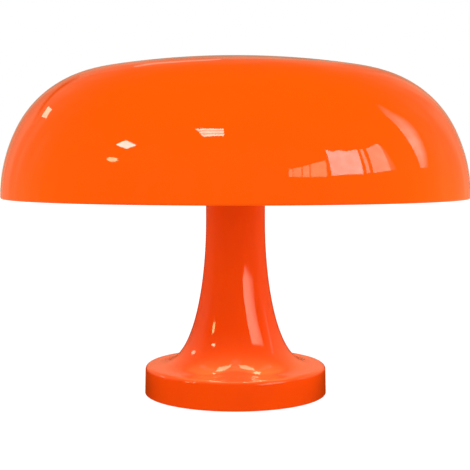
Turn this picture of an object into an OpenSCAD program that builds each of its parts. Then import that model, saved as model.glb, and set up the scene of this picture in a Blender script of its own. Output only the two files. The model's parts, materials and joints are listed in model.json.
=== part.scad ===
// Mushroom-shaped table lamp: a moulded dome that lifts off a trumpet-shaped stand, with four
// screw-in bulbs lying crosswise under it. Millimetres, +Z up, the front is -Y and the cord
// comes out at the back. The origin is on the table, under the middle of the base.

/* [Shade] */
// Outside diameter of the shade at its rim
shade_d = 320; // [300:1:340]
// Wall of the shade
shade_wall = 3; // [2:0.1:4]
// How far the rim lies below the stem's top face
rim_drop = 12.6; // [9:0.2:17]
// Radius of the shallow crown
crown_r = 540; // [450:5:700]
// Radius of the rounded shoulder
shoulder_r = 73.7; // [66:0.1:80]
// Radius of the side, which stands upright at the rim
side_r = 104.9; // [97:0.1:114]
// Slope at which the shoulder hands over to the side
shoulder_deg = 63; // [58:1:68]

/* [Shade seat] */
// Outside diameter of the boss under the crown
boss_d = 25; // [23:0.5:30]
// Solid stretch between the boss's bore and the crown
boss_roof = 4.5; // [3:0.5:7]
// Number of gussets round the boss
gusset_n = 6; // [3:1:8]
// Thickness of a gusset
gusset_t = 2; // [1.5:0.1:3]
// Reach of a gusset from the middle
gusset_reach = 40; // [28:1:60]
// Diameter of the post's spigot
spigot_d = 14; // [12:0.5:15]
// Length of the spigot
spigot_len = 16; // [12:0.5:18]
// Depth of the flat that stops the shade turning
key_flat = 1.2; // [0.8:0.1:2]
// Wall of the bush between the spigot and the boss
bush_wall = 1.5; // [1:0.1:2]
// Thickness of the bush's flange
bush_flange_t = 2; // [1.5:0.1:3]
// Diameter of the post under its shoulder
post_d = 21; // [18:0.5:23]
// Diameter of the post's foot
post_foot_d = 30; // [26:0.5:34]
// Thickness of the post's foot
post_foot_t = 3; // [2:0.5:4]

/* [Stand] */
// Diameter of the base disc
base_d = 126; // [118:1:134]
// Height of the base disc
base_h = 20.6; // [19.6:0.2:24]
// Radius of the disc's upper edge
base_edge_r = 3; // [1:0.5:4]
// How much wider the disc's wall stands at its foot
base_draft = 0.4; // [0:0.1:1]
// Flat ring between the disc's edge and the foot of the flare
flare_inset = 6; // [5:0.5:10]
// Diameter of the straight stem
stem_d = 41.2; // [38:0.2:45]
// Height at which the flare has become the straight stem
flare_top_z = 120; // [108:1:130]
// Height of the stem's top face
stem_top_z = 150; // [146:0.5:153]
// Sharpness of the flare near its foot
foot_power = 2.67; // [2.3:0.01:3]
// Sharpness of the flare near the stem
neck_power = 1.91; // [1.8:0.01:2.1]
// Wall of the moulded body
stand_wall = 3; // [2.4:0.1:3.6]
// Number of ribs inside the flare
rib_n = 8; // [4:4:16]
// Thickness of a rib
rib_t = 2; // [1.5:0.1:3]

/* [Base] */
// Height of the foot ring
foot_t = 2; // [1.5:0.1:3]
// Width of the foot ring
foot_w = 9; // [6:0.5:10]
// Thickness of the bottom cover
cover_t = 2.5; // [2.2:0.1:3]
// Thickness of the iron weight
ballast_t = 10.5; // [9.6:0.1:11]
// Room between the weight and the disc's wall
ballast_gap = 4; // [3.6:0.1:6]
// Height of the weight's raised middle
ballast_hub_h = 7; // [5:0.5:12]
// Diameter of the circle of cover screws
cover_screw_pcd = 80; // [72:1:84]
// Diameter of the bosses that take the cover screws
cover_boss_d = 9; // [8:0.5:10]
// Length of a cover screw
cover_screw_len = 13; // [10:0.5:14]
// Bore of the cord grommet
cord_bore_d = 6.2; // [5:0.1:6.4]
// Height of the cord's entry
cord_z = 10.5; // [10.4:0.1:11]

/* [Centre rod] */
// Diameter of the hollow rod
rod_d = 10; // [9:0.5:12]
// Bore of the hollow rod
rod_bore_d = 7; // [5:0.5:7.5]
// Size of its nuts across flats
rod_nut_af = 14; // [14:0.5:16]
// Height of its nuts
rod_nut_h = 4; // [3:0.5:5]
// Diameter of its washers
rod_washer_d = 20; // [17.5:0.5:20.5]
// Thickness of its washers
rod_washer_t = 1.5; // [1:0.1:2]

/* [Hub] */
// Width of the hub across its flat sides
hub_w = 48; // [47:0.5:54]
// Height of the hub without its cover
hub_h = 40; // [39:0.5:44]
// Radius of the hub's upright corners
hub_corner_r = 8; // [5:0.5:10]
// Wall of the hub
hub_wall = 2.5; // [2:0.1:3]
// Floor of the hub
hub_floor = 3; // [2:0.1:4]
// Thickness of the hub's cover
hub_cover_t = 3; // [2:0.1:4]
// Length of the spigot that stands in the stem
hub_spigot_len = 8; // [5:0.5:12]
// Distance of the cover's screws from the middle, along each side
hub_screw_xy = 17.2; // [16.5:0.1:18]
// Outside diameter of the terminal block
terminal_d = 34.4; // [34.2:0.1:35.4]
// Height of the terminal block
terminal_h = 9; // [7:0.5:9.5]
// Width of each terminal ring
terminal_ring_w = 2; // [1.6:0.1:2.2]

/* [Lampholders] */
// Height of the lampholders' axis above the stem's top face
holder_rise = 21; // [20.4:0.2:23]
// Diameter of a lampholder at its joint
holder_d = 27; // [26:0.5:29]
// Diameter of a lampholder at its mouth
holder_mouth_d = 22.4; // [21:0.2:24]
// Length of a lampholder
holder_len = 38; // [37:0.5:40]
// Diameter of the screw shell's bore
shell_bore_d = 14.06; // [14:0.02:14.08]
// Diameter of the threaded nipples
nipple_d = 10; // [9:0.5:10.5]
// Bore of the nipples
nipple_bore_d = 7.2; // [6.8:0.1:7.5]
// Diameter of the insulated leads
lead_d = 2; // [1.6:0.1:2.2]

/* [Bulbs] */
// Diameter of the bulb's globe
globe_d = 45; // [40:1:48]
// Length of the bulb from its tip to the top of its globe
bulb_len = 78; // [74:1:84]
// Diameter of the bulb's screw cap
cap_d = 13.9; // [13.7:0.02:13.92]
// Wall of the globe
globe_wall = 1; // [0.8:0.1:1.5]

/* [Hidden] */
slip = 0.1; // fixed pieces that slide into one another
loose = 0.3; // pieces that come apart, and seats on moulded walls
spigot_play = 0.06; // each side of the spigot in its bush
dome_fn = 200;
$fn = 64;

moulded_orange = "#ff620a";
stand_orange = "#ea4008";
holder_white = "#ece8dd";
brass = "#c9a24a";
zinc = "#b9bcbf";
iron = "#4a4b4d";
opal = "#f7f4ea";

// Dome: three arcs, each tangent to the next, worked out from the rim inwards.
shade_r = shade_d / 2;
rim_z = stem_top_z - rim_drop;
crown_deg = asin((shade_r - side_r - (shoulder_r - side_r) * sin(shoulder_deg)) / (crown_r - shoulder_r));
side_centre = [shade_r - side_r, rim_z];
shoulder_centre = side_centre + (side_r - shoulder_r) * [sin(shoulder_deg), cos(shoulder_deg)];
crown_centre = shoulder_centre - (crown_r - shoulder_r) * [sin(crown_deg), cos(crown_deg)];
crown_under_z = crown_centre[1] + crown_r - shade_wall;

// Shade seat, from the crown down.
bush_d = spigot_d + 2 * (spigot_play + bush_wall);
bush_len = spigot_len + 1;
boss_z = crown_under_z - boss_roof - bush_len;
seat_z = boss_z - bush_flange_t;

// Base, from the table up.
base_r = base_d / 2;
stem_r = stem_d / 2;
flare_r = base_r - flare_inset;
cover_z = foot_t;
ballast_z = cover_z + cover_t;
ballast_top = ballast_z + ballast_t;
ballast_r = base_r - stand_wall - ballast_gap;
ballast_hub_r = 18;
recess_r = 15;
body_foot_z = foot_t / 2;
cover_r = base_r - stand_wall - loose;
cover_screw_r = 1.5;
cover_head_r = 3;
cover_head_t = 1.5;
cord_slot_w = cord_bore_d + 3;
grommet_r = cord_bore_d / 2 + 1.8;
grommet_flange_r = grommet_r + 0.9;
grommet_flange_t = 2;

// Centre rod: it clamps the hub, the body and the weight together.
web_z = ballast_top + ballast_hub_h - 7;
lower_washer_z = web_z - rod_washer_t;
lower_nut_z = lower_washer_z - rod_nut_h;
hub_floor_z = stem_top_z + hub_floor;
upper_nut_z = hub_floor_z + rod_washer_t;
rod_z = lower_nut_z - 0.5;
rod_top = upper_nut_z + rod_nut_h + 1;

// Hub.
hub_top = stem_top_z + hub_h;
post_z = hub_top + hub_cover_t;
post_stub_d = 10;
post_nut_h = 4;
hub_screw_r = 1.4;
hub_screw_len = 10;
terminal_z = hub_floor_z + terminal_h;
live_r = terminal_d / 2 - 2;
neutral_r = live_r - terminal_ring_w - 0.9;
terminal_ring_t = 1.5;

// Lampholders: u is the distance from the lamp's axis, along each holder.
holder_z = stem_top_z + holder_rise;
hub_u = hub_w / 2;
lock_nut_h = 3.5;
lock_nut_u = hub_u - hub_wall - lock_nut_h;
nipple_u = lock_nut_u - 0.5;
holder_cap_len = 12;
holder_grip_len = 8;
holder_joint_u = hub_u + holder_cap_len;
insulator_u = holder_joint_u + 2;
insulator_t = 4;
shell_u = insulator_u + insulator_t;
shell_wall = 0.5;
shell_len = 17;
mouth_u = hub_u + holder_len;
lead_offset = 1.4;
contact_reach = 5.5;

// Bulbs, from the tip outwards.
tip_u = shell_u + 1.8;
collar_u = mouth_u + loose;
cap_u = tip_u + 4.2;
globe_r = globe_d / 2;
globe_u = tip_u + bulb_len - globe_r;
globe_open_deg = 58;
globe_joint_u = globe_u - globe_r * cos(globe_open_deg);
globe_joint_r = globe_r * sin(globe_open_deg);
board_r = globe_joint_r - 2.2;
board_t = 1.5;
housing_wall = 1.5;
housing_u = collar_u + 1;

// Shared shapes

module ring(r_out, r_in, h) {
    difference() {
        cylinder(r = r_out, h = h);
        translate([0, 0, -1]) cylinder(r = r_in, h = h + 2);
    }
}

module hex_nut(af, h, bore_r) {
    difference() {
        cylinder(d = af / cos(30), h = h, $fn = 6);
        translate([0, 0, -1]) cylinder(r = bore_r, h = h + 2);
    }
}

// Puts +Z on the axis of lampholder k: 1 to the right, 2 to the back, 3 left, 4 front.
module at_holder(k) {
    rotate([0, 0, 90 * (k - 1)]) translate([0, 0, holder_z]) rotate([0, 90, 0]) children();
}

module at_holders() {
    for (k = [1:4]) at_holder(k) children();
}

module at_hub_corners(z) {
    for (x = [-1, 1], y = [-1, 1]) translate([x * hub_screw_xy, y * hub_screw_xy, z]) children();
}

module at_cover_screws(z) {
    for (k = [0:3]) rotate([0, 0, 45 + 90 * k]) translate([cover_screw_pcd / 2, 0, z]) children();
}

// Dome

// The part of a circle, or with a wall of a ring, that lies between two slopes from upright.
module pie(centre, r, wall, from_deg, to_deg) {
    intersection() {
        translate(centre) difference() {
            circle(r, $fn = dome_fn);
            if (wall > 0) circle(r - wall, $fn = dome_fn);
        }
        polygon([centre,
                 centre + 2 * r * [sin(from_deg), cos(from_deg)],
                 centre + 2 * r * [sin(to_deg), cos(to_deg)]]);
    }
}

// Half section of the dome, drawn in from its outer surface by inset, and solid without a wall.
// The shoulder's circle lies inside both its neighbours, so its pie runs a little into theirs.
module dome_section(inset = 0, wall = 0) {
    pie(crown_centre, crown_r - inset, wall, 0, crown_deg);
    pie(shoulder_centre, shoulder_r - inset, wall, crown_deg - 1, shoulder_deg + 1);
    pie(side_centre, side_r - inset, wall, shoulder_deg, 90);
}

module above_rim(z) {
    intersection() {
        translate([0, z]) square([shade_d, shade_d]);
        children();
    }
}

module shade() {
    lip_r = shade_wall / 2;
    color(moulded_orange) difference() {
        union() {
            rotate_extrude($fn = dome_fn) {
                above_rim(rim_z + lip_r) dome_section(wall = shade_wall);
                translate([shade_r - lip_r, rim_z + lip_r]) circle(lip_r);
            }
            intersection() {
                rotate_extrude($fn = dome_fn) above_rim(rim_z + lip_r) dome_section(inset = shade_wall / 2);
                union() {
                    translate([0, 0, boss_z]) cylinder(d = boss_d, h = shade_d);
                    for (k = [0:gusset_n - 1]) rotate([0, 0, 360 / gusset_n * (k + 0.5)]) gusset();
                }
            }
        }
        translate([0, 0, boss_z - 1]) cylinder(d = bush_d + 2 * slip, h = bush_len + 1 + slip);
    }
}

module gusset() {
    inner = boss_d / 2 - 1;
    translate([0, gusset_t / 2, 0]) rotate([90, 0, 0]) linear_extrude(gusset_t) polygon([
        [inner, boss_z + 4],
        [gusset_reach, crown_under_z - 3],
        [gusset_reach, crown_under_z + shade_wall],
        [inner, crown_under_z + shade_wall],
    ]);
}

// A round bar with a flat along it.
module keyed_bar(r, h, flat_y) {
    intersection() {
        cylinder(r = r, h = h);
        translate([-r, flat_y - 2 * r, 0]) cube([2 * r, 2 * r, h]);
    }
}

module socket_bush() {
    spigot_r = spigot_d / 2;
    color(holder_white) difference() {
        union() {
            translate([0, 0, seat_z]) cylinder(d = post_d + 2, h = bush_flange_t);
            translate([0, 0, seat_z]) cylinder(d = bush_d, h = bush_flange_t + bush_len);
        }
        translate([0, 0, seat_z - 1])
            keyed_bar(spigot_r + spigot_play, spigot_len + 2.5, spigot_r - key_flat + spigot_play);
    }
}

module shade_post() {
    spigot_r = spigot_d / 2;
    chamfer = 1;
    root = 1; // how far the spigot runs down into the post
    foot_top = post_z + post_foot_t;
    color(zinc) {
        rotate_extrude() polygon([
            [0, post_z - post_nut_h - hub_cover_t - 1],
            [post_stub_d / 2, post_z - post_nut_h - hub_cover_t - 1],
            [post_stub_d / 2, post_z],
            [post_foot_d / 2, post_z],
            [post_foot_d / 2, foot_top - 1],
            [post_foot_d / 2 - 1, foot_top],
            [post_d / 2 - 2, foot_top],
            [post_d / 2 - 2, seat_z - 2],
            [post_d / 2, seat_z - 1],
            [post_d / 2, seat_z],
            [0, seat_z],
        ]);
        translate([0, 0, seat_z]) intersection() {
            translate([0, 0, -root]) keyed_bar(spigot_r, spigot_len + root, spigot_r - key_flat);
            rotate_extrude() polygon([
                [0, -root], [spigot_r, -root], [spigot_r, spigot_len - chamfer],
                [spigot_r - chamfer, spigot_len], [0, spigot_len],
            ]);
        }
    }
}

module post_nut() {
    color(brass) translate([0, 0, hub_top - post_nut_h]) hex_nut(rod_nut_af, post_nut_h, post_stub_d / 2 + slip);
}

// Stand

// Direction from the flare's surface into its wall, at parameter t.
function flare_inward(t) =
    let (dr = -(flare_r - stem_r) * 2 / foot_power * pow(sin(t), 2 / foot_power - 1) * cos(t),
         dz = (flare_top_z - base_h) * 2 / neck_power * pow(cos(t), 2 / neck_power - 1) * sin(t))
    [-dz, dr] / norm([dr, dz]);

// Half outline from the disc's foot to the stem's top, drawn in from the outer surface by inset.
function stand_outline(inset) =
    let (edge_r = max(base_edge_r - inset, 0.3),
         edge_centre = [base_r - inset - edge_r, base_h - inset - edge_r],
         steps = 36)
    concat(
        [[base_r + base_draft - inset, body_foot_z]],
        [for (a = [0:15:90]) edge_centre + edge_r * [cos(a), sin(a)]],
        [[flare_r, base_h - inset]],
        [for (k = [1:steps - 1])
            let (t = 90 * k / steps)
            [flare_r - (flare_r - stem_r) * pow(sin(t), 2 / foot_power),
             base_h + (flare_top_z - base_h) * (1 - pow(cos(t), 2 / neck_power))]
            + inset * flare_inward(t)],
        [[stem_r - inset, flare_top_z], [stem_r - inset, stem_top_z]]
    );

module stand_solid(inset) {
    rotate_extrude() polygon(concat(stand_outline(inset), [[0, stem_top_z], [0, body_foot_z]]));
}

module body_shell() {
    wall_outline = stand_outline(stand_wall);
    inner_side = [for (k = [len(wall_outline) - 1:-1:0]) wall_outline[k]];
    color(stand_orange) difference() {
        union() {
            rotate_extrude() polygon(concat(stand_outline(0), inner_side));
            intersection() {
                stand_solid(stand_wall / 2);
                union() {
                    for (k = [0:rib_n - 1]) rotate([0, 0, 360 / rib_n * k])
                        translate([ballast_hub_r + 8, -rib_t / 2, ballast_top])
                            cube([ballast_r - ballast_hub_r - 9, rib_t, 40]);
                    at_cover_screws(ballast_z) cylinder(d = cover_boss_d, h = 40);
                }
            }
        }
        at_cover_screws(ballast_z - 1) cylinder(r = cover_screw_r + slip, h = cover_screw_len);
        translate([0, base_r - 2 * stand_wall, cord_z]) rotate([-90, 0, 0])
            cylinder(r = grommet_r + slip, h = 4 * stand_wall);
    }
}

module ballast() {
    color(iron) difference() {
        rotate_extrude() polygon([
            [rod_d / 2 + slip, web_z],
            [recess_r, web_z],
            [recess_r, ballast_z],
            [ballast_r - 1, ballast_z],
            [ballast_r, ballast_z + 1],
            [ballast_r, ballast_top - 1],
            [ballast_r - 1, ballast_top],
            [ballast_hub_r + 2, ballast_top],
            [ballast_hub_r, ballast_top + ballast_hub_h],
            [rod_d / 2 + slip, ballast_top + ballast_hub_h],
        ]);
        at_cover_screws(ballast_z - 1) cylinder(d = cover_boss_d + 1, h = ballast_t + 2);
        translate([-cord_slot_w / 2, 0, ballast_z - 1]) cube([cord_slot_w, base_r, web_z - ballast_z + 1]);
    }
}

module bottom_cover() {
    color(iron) difference() {
        translate([0, 0, cover_z]) cylinder(r = cover_r, h = cover_t);
        at_cover_screws(cover_z) countersink(slip);
    }
}

// Room for a countersunk screw whose head lies just inside the cover's face.
module countersink(gap) {
    translate([0, 0, -1]) cylinder(r = cover_head_r + gap, h = 1.2);
    translate([0, 0, 0.2])
        cylinder(r1 = cover_head_r + gap, r2 = cover_screw_r + gap, h = cover_head_t);
    cylinder(r = cover_screw_r + gap, h = cover_t + 1);
}

module cover_screws() {
    color(zinc) at_cover_screws(cover_z + 0.2) difference() {
        union() {
            cylinder(r1 = cover_head_r, r2 = cover_screw_r, h = cover_head_t);
            cylinder(r = cover_screw_r, h = cover_screw_len);
        }
        for (a = [0, 90]) rotate([0, 0, a]) translate([-1.6, -0.35, -1]) cube([3.2, 0.7, 1.8]);
    }
}

module foot_ring() {
    color("#2b2b2c") ring(cover_r - 1.5, cover_r - 1.5 - foot_w, foot_t);
}

module cord_grommet() {
    wall_in = base_r - stand_wall;
    outer_y = base_r + base_draft + slip / 2;
    inner_y = sqrt(pow(wall_in, 2) - pow(grommet_flange_r, 2)) - slip;
    color("#262627") translate([0, 0, cord_z]) rotate([-90, 0, 0]) difference() {
        union() {
            translate([0, 0, inner_y - grommet_flange_t])
                cylinder(r = grommet_r, h = outer_y - inner_y + 2 * grommet_flange_t);
            translate([0, 0, inner_y - grommet_flange_t]) cylinder(r = grommet_flange_r, h = grommet_flange_t);
            translate([0, 0, outer_y]) cylinder(r = grommet_flange_r, h = grommet_flange_t);
        }
        cylinder(d = cord_bore_d, h = 2 * base_r);
    }
}

// Centre rod

module centre_rod() {
    color(zinc) translate([0, 0, rod_z]) ring(rod_d / 2, rod_bore_d / 2, rod_top - rod_z);
}

module rod_washer(z) {
    color(zinc) translate([0, 0, z]) ring(rod_washer_d / 2, rod_d / 2 + slip, rod_washer_t);
}

module rod_nut(z) {
    color(brass) translate([0, 0, z]) hex_nut(rod_nut_af, rod_nut_h, rod_d / 2 + slip);
}

// Hub

module hub_outline(inset) {
    half = hub_w / 2 - hub_corner_r;
    r = hub_corner_r - inset;
    for (x = [-half, half], y = [-half, half]) translate([x, y]) circle(r);
    for (a = [0, 90]) rotate(a) square([2 * (half + r), 2 * half], center = true);
}

module hub_housing() {
    spigot_r = stem_r - stand_wall - loose;
    color(holder_white) difference() {
        union() {
            translate([0, 0, stem_top_z]) linear_extrude(hub_h) difference() {
                hub_outline(0);
                hub_outline(hub_wall);
            }
            translate([0, 0, stem_top_z]) linear_extrude(hub_floor) hub_outline(0);
            intersection() {
                at_hub_corners(stem_top_z) cylinder(r = hub_screw_r + 1.8, h = hub_h);
                translate([0, 0, stem_top_z]) linear_extrude(hub_h) hub_outline(hub_wall / 2);
            }
            translate([0, 0, stem_top_z - hub_spigot_len])
                ring(spigot_r, spigot_r - hub_wall, hub_spigot_len + 1);
        }
        at_hub_corners(hub_top - hub_screw_len - 1)
            cylinder(r = hub_screw_r + slip, h = hub_screw_len + 2);
        translate([0, 0, stem_top_z - 1]) cylinder(r = rod_d / 2 + slip, h = hub_floor + 2);
        at_holders() translate([0, 0, hub_u - 2 * hub_wall])
            cylinder(r = nipple_d / 2 + slip, h = 3 * hub_wall);
    }
}

module hub_cover() {
    color(holder_white) translate([0, 0, hub_top]) difference() {
        linear_extrude(hub_cover_t) hub_outline(0);
        translate([0, 0, -1]) cylinder(r = post_stub_d / 2 + slip, h = hub_cover_t + 2);
        at_hub_corners(-1) cylinder(r = hub_screw_r + 2 * slip, h = hub_cover_t + 2);
    }
}

module hub_cover_screws() {
    head_h = 1.8;
    color(zinc) at_hub_corners(hub_top + hub_cover_t) difference() {
        union() {
            cylinder(r1 = hub_screw_r + 1.2, r2 = hub_screw_r + 0.8, h = head_h);
            translate([0, 0, -hub_screw_len]) cylinder(r = hub_screw_r, h = hub_screw_len + head_h / 2);
        }
        for (a = [0, 90]) rotate([0, 0, a]) translate([-1.4, -0.3, head_h - 0.9]) cube([2.8, 0.6, 1]);
    }
}

// The two grooves in the block's face hold the terminal rings.
module terminal_block() {
    color(holder_white) translate([0, 0, hub_floor_z]) difference() {
        ring(terminal_d / 2, rod_washer_d / 2 + loose / 2, terminal_h);
        for (r = [live_r, neutral_r]) translate([0, 0, terminal_h - terminal_ring_t])
            ring(r + terminal_ring_w / 2 + slip / 2, r - terminal_ring_w / 2 - slip / 2, terminal_ring_t + 1);
    }
}

module terminal_ring(r) {
    color(brass) translate([0, 0, terminal_z - terminal_ring_t])
        ring(r + terminal_ring_w / 2, r - terminal_ring_w / 2, terminal_ring_t);
}

// One lead to each lampholder: down from the nipple to a terminal ring, in one bend.
module leads(ring_r, side, colour) {
    bend_r = max(nipple_u - live_r, lead_d / 2 + 0.6);
    r = lead_d / 2;
    color(colour) for (k = [0:3]) rotate([0, 0, 90 * k]) translate([0, side * lead_offset, 0]) {
        translate([ring_r, 0, terminal_z]) cylinder(r = r, h = holder_z - bend_r - terminal_z);
        translate([ring_r + bend_r, 0, holder_z - bend_r]) rotate([90, 0, 180])
            rotate_extrude(angle = 90) translate([bend_r, 0]) circle(r, $fn = 24);
        translate([ring_r + bend_r, 0, holder_z]) rotate([0, 90, 0])
            cylinder(r = r, h = insulator_u - ring_r - bend_r);
    }
}

// Lampholders

module holder_nipples() {
    color(brass) at_holders() translate([0, 0, nipple_u])
        ring(nipple_d / 2, nipple_bore_d / 2, hub_u + 5 - nipple_u);
}

module holder_locknuts() {
    color(brass) at_holders() translate([0, 0, lock_nut_u])
        hex_nut(nipple_d + 4, lock_nut_h, nipple_d / 2 + slip);
}

// Rear half of a lampholder: a dome on the nipple, with a threaded spigot for the front half.
module holder_caps() {
    neck_r = nipple_d / 2 + 3;
    spigot_r = holder_d / 2 - 1.5;
    color(holder_white) at_holders() rotate_extrude() polygon([
        [nipple_d / 2 + slip, hub_u],
        [neck_r, hub_u],
        [neck_r, hub_u + 3],
        [neck_r + 1.2, hub_u + 5.4],
        [holder_d / 2 - 1, holder_joint_u - 3.4],
        [holder_d / 2, holder_joint_u - 2],
        [holder_d / 2, holder_joint_u],
        [spigot_r, holder_joint_u],
        [spigot_r, shell_u],
        [spigot_r - 1.5, shell_u],
        [spigot_r - 1.5, insulator_u],
        [spigot_r - 3, insulator_u],
        [spigot_r - 3, holder_joint_u - 3],
        [spigot_r - 5, holder_joint_u - 5],
        [nipple_d / 2 + slip, hub_u + 6],
    ]);
}

// Front half of a lampholder: its inner step holds the screw shell down.
module lampholder(k) {
    step_u = shell_u + 0.8;
    throat_r = shell_bore_d / 2 + shell_wall + 0.4;
    mouth_r = holder_mouth_d / 2;
    color(holder_white) at_holder(k) rotate_extrude() polygon([
        [holder_d / 2 - 1.5 + slip, holder_joint_u],
        [holder_d / 2, holder_joint_u],
        [holder_d / 2, holder_joint_u + holder_grip_len],
        [mouth_r + 0.6, holder_joint_u + holder_grip_len + 3],
        [mouth_r, holder_joint_u + holder_grip_len + 4],
        [mouth_r, mouth_u - 0.8],
        [mouth_r - 0.8, mouth_u],
        [throat_r, mouth_u],
        [throat_r, step_u],
        [holder_d / 2 - 1.5 + slip, step_u],
    ]);
}

module contact_insulators() {
    color("#d9d3c2") at_holders() translate([0, 0, insulator_u])
        cylinder(r = holder_d / 2 - 3 - slip, h = insulator_t);
}

// The shell's lower edge is beaded out: that bead is held between the holder's two halves.
module screw_shells() {
    bore_r = shell_bore_d / 2;
    color(brass) at_holders() rotate_extrude() polygon([
        [bore_r, shell_u],
        [holder_d / 2 - 3.5, shell_u],
        [holder_d / 2 - 3.5, shell_u + 0.7],
        [bore_r + shell_wall, shell_u + 0.7],
        [bore_r + shell_wall, shell_u + shell_len],
        [bore_r, shell_u + shell_len],
    ]);
}

// A sprung brass tongue that rises to the bulb's tip.
module centre_contacts() {
    tongue_w = 4;
    t = 0.4;
    rise = tip_u - loose - shell_u;
    color(brass) at_holders() translate([0, tongue_w / 2, shell_u]) rotate([90, 0, 0])
        linear_extrude(tongue_w) polygon([
            [-contact_reach, 0], [-2.8, 0], [-1, rise - t], [1, rise - t], [2.6, rise - t - 0.8],
            [2.9, rise - t - 0.5], [1.2, rise], [-1.2, rise], [-3, t], [-contact_reach, t],
        ]);
}

// Bulbs

module bulb_globe(k) {
    color(opal) at_holder(k) rotate_extrude() intersection() {
        translate([0, globe_joint_u]) square(globe_d);
        translate([0, globe_u]) difference() {
            circle(globe_r, $fn = 96);
            circle(globe_r - globe_wall, $fn = 96);
        }
    }
}

// Outer radius of the housing, at t from its collar to the globe, whose slope it takes up.
function housing_r(t) =
    let (start = cap_d / 2 + 1.8,
         start_slope = 0.15,
         end_slope = 1 / tan(globe_open_deg))
    start * (2 * pow(t, 3) - 3 * pow(t, 2) + 1)
    + globe_joint_r * (3 * pow(t, 2) - 2 * pow(t, 3))
    + (globe_joint_u - housing_u)
    * (start_slope * (pow(t, 3) - 2 * pow(t, 2) + t) + end_slope * (pow(t, 3) - pow(t, 2)));

function housing_point(t, inset) = [housing_r(t) - inset, housing_u + t * (globe_joint_u - housing_u)];

module bulb_housing(k) {
    neck_r = cap_d / 2 - 0.5;
    steps = 12;
    color("#efeee9") at_holder(k) rotate_extrude() polygon(concat(
        [[neck_r - housing_wall, cap_u + 4], [neck_r, cap_u + 4], [neck_r, collar_u]],
        [[cap_d / 2 + 1.4, collar_u]],
        [for (i = [0:steps]) housing_point(i / steps, 0)],
        [[board_r + slip, globe_joint_u], [board_r + slip, globe_joint_u - board_t]],
        [[board_r - 1, globe_joint_u - board_t]],
        [for (i = [steps - 2:-1:2]) housing_point(i / steps, housing_wall + 0.6)],
        [[neck_r - housing_wall, collar_u + 4]]
    ));
}

module bulb_board(k) {
    chip = 2.8;
    chip_r = 10;
    color("#f2f2ee") at_holder(k) translate([0, 0, globe_joint_u - board_t]) {
        cylinder(r = board_r, h = board_t);
        for (j = [0:7]) rotate([0, 0, 45 * j]) translate([chip_r - chip / 2, -chip / 2, 0])
            cube([chip, chip, board_t + 0.7]);
    }
}

module bulb_cap(k) {
    color(zinc) at_holder(k) rotate_extrude() polygon([
        [cap_d / 2 - 0.4, collar_u],
        [cap_d / 2, collar_u],
        [cap_d / 2, cap_u + 1],
        [cap_d / 2 - 1, cap_u],
        [cap_d / 2 - 2, cap_u],
        [cap_d / 2 - 2, cap_u + 0.4],
        [cap_d / 2 - 0.4, cap_u + 1.4],
    ]);
}

module bulb_insulator(k) {
    color("#1d1d22") at_holder(k) rotate_extrude() polygon([
        [0, tip_u + 0.9],
        [2.6, tip_u + 0.9],
        [3.4, tip_u + 1.3],
        [cap_d / 2 - 2.1, cap_u - 0.9],
        [cap_d / 2 - 2.1, cap_u + 0.4],
        [0, cap_u + 0.4],
    ]);
}

module bulb_tip(k) {
    color(zinc) at_holder(k) rotate_extrude() polygon([
        [0, tip_u], [1.4, tip_u], [2.2, tip_u + 0.4], [2.4, tip_u + 0.9], [0, tip_u + 0.9],
    ]);
}

body_shell();
ballast();
bottom_cover();
cover_screws();
foot_ring();
cord_grommet();
centre_rod();
rod_washer(lower_washer_z);  // lower_washer
rod_nut(lower_nut_z);  // lower_nut
rod_washer(hub_floor_z);  // upper_washer
rod_nut(upper_nut_z);  // upper_nut
hub_housing();
hub_cover();
hub_cover_screws();
shade_post();
post_nut();
terminal_block();
terminal_ring(live_r);  // live_ring
terminal_ring(neutral_r);  // neutral_ring
leads(live_r, 1, "#7a4a26");  // live_leads
leads(neutral_r, -1, "#3567a8");  // neutral_leads
holder_nipples();
holder_locknuts();
holder_caps();
screw_shells();
contact_insulators();
centre_contacts();
shade();
socket_bush();
for (k = [1:4]) {
    lampholder(k);
    bulb_globe(k);
    bulb_housing(k);
    bulb_board(k);
    bulb_cap(k);
    bulb_insulator(k);
    bulb_tip(k);
}
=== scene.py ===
# Mushroom table lamp: the looks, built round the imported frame. Outlines are in millimetres,
# as (distance from the axis, height), and become metres when a mesh is made.
import json
from math import acos, asin, cos, degrees, pi, radians, sin, sqrt, tan

import bmesh
import bpy
from mathutils import Matrix, Vector

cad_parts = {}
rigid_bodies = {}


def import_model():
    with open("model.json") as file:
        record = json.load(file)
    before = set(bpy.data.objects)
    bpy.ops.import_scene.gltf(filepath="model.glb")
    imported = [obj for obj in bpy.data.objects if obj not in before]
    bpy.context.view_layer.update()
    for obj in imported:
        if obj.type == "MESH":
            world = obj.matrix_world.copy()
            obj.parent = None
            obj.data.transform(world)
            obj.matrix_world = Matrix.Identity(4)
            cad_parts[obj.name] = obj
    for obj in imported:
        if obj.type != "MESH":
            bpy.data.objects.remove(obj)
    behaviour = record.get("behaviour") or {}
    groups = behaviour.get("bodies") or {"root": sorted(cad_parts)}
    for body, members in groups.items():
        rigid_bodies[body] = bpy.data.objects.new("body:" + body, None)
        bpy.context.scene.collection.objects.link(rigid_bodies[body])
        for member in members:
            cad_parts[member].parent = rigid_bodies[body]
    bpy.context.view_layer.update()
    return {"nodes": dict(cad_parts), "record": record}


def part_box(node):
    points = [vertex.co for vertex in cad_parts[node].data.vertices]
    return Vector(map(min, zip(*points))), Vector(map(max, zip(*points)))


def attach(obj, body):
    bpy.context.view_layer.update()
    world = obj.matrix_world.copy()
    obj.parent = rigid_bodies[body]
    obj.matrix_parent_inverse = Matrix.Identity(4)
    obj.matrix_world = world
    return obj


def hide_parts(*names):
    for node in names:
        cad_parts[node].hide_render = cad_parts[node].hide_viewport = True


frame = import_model()
cadNodes = frame["nodes"]
scene = bpy.context.scene
mm = 0.001


# Camera, at the photograph's place

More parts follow.
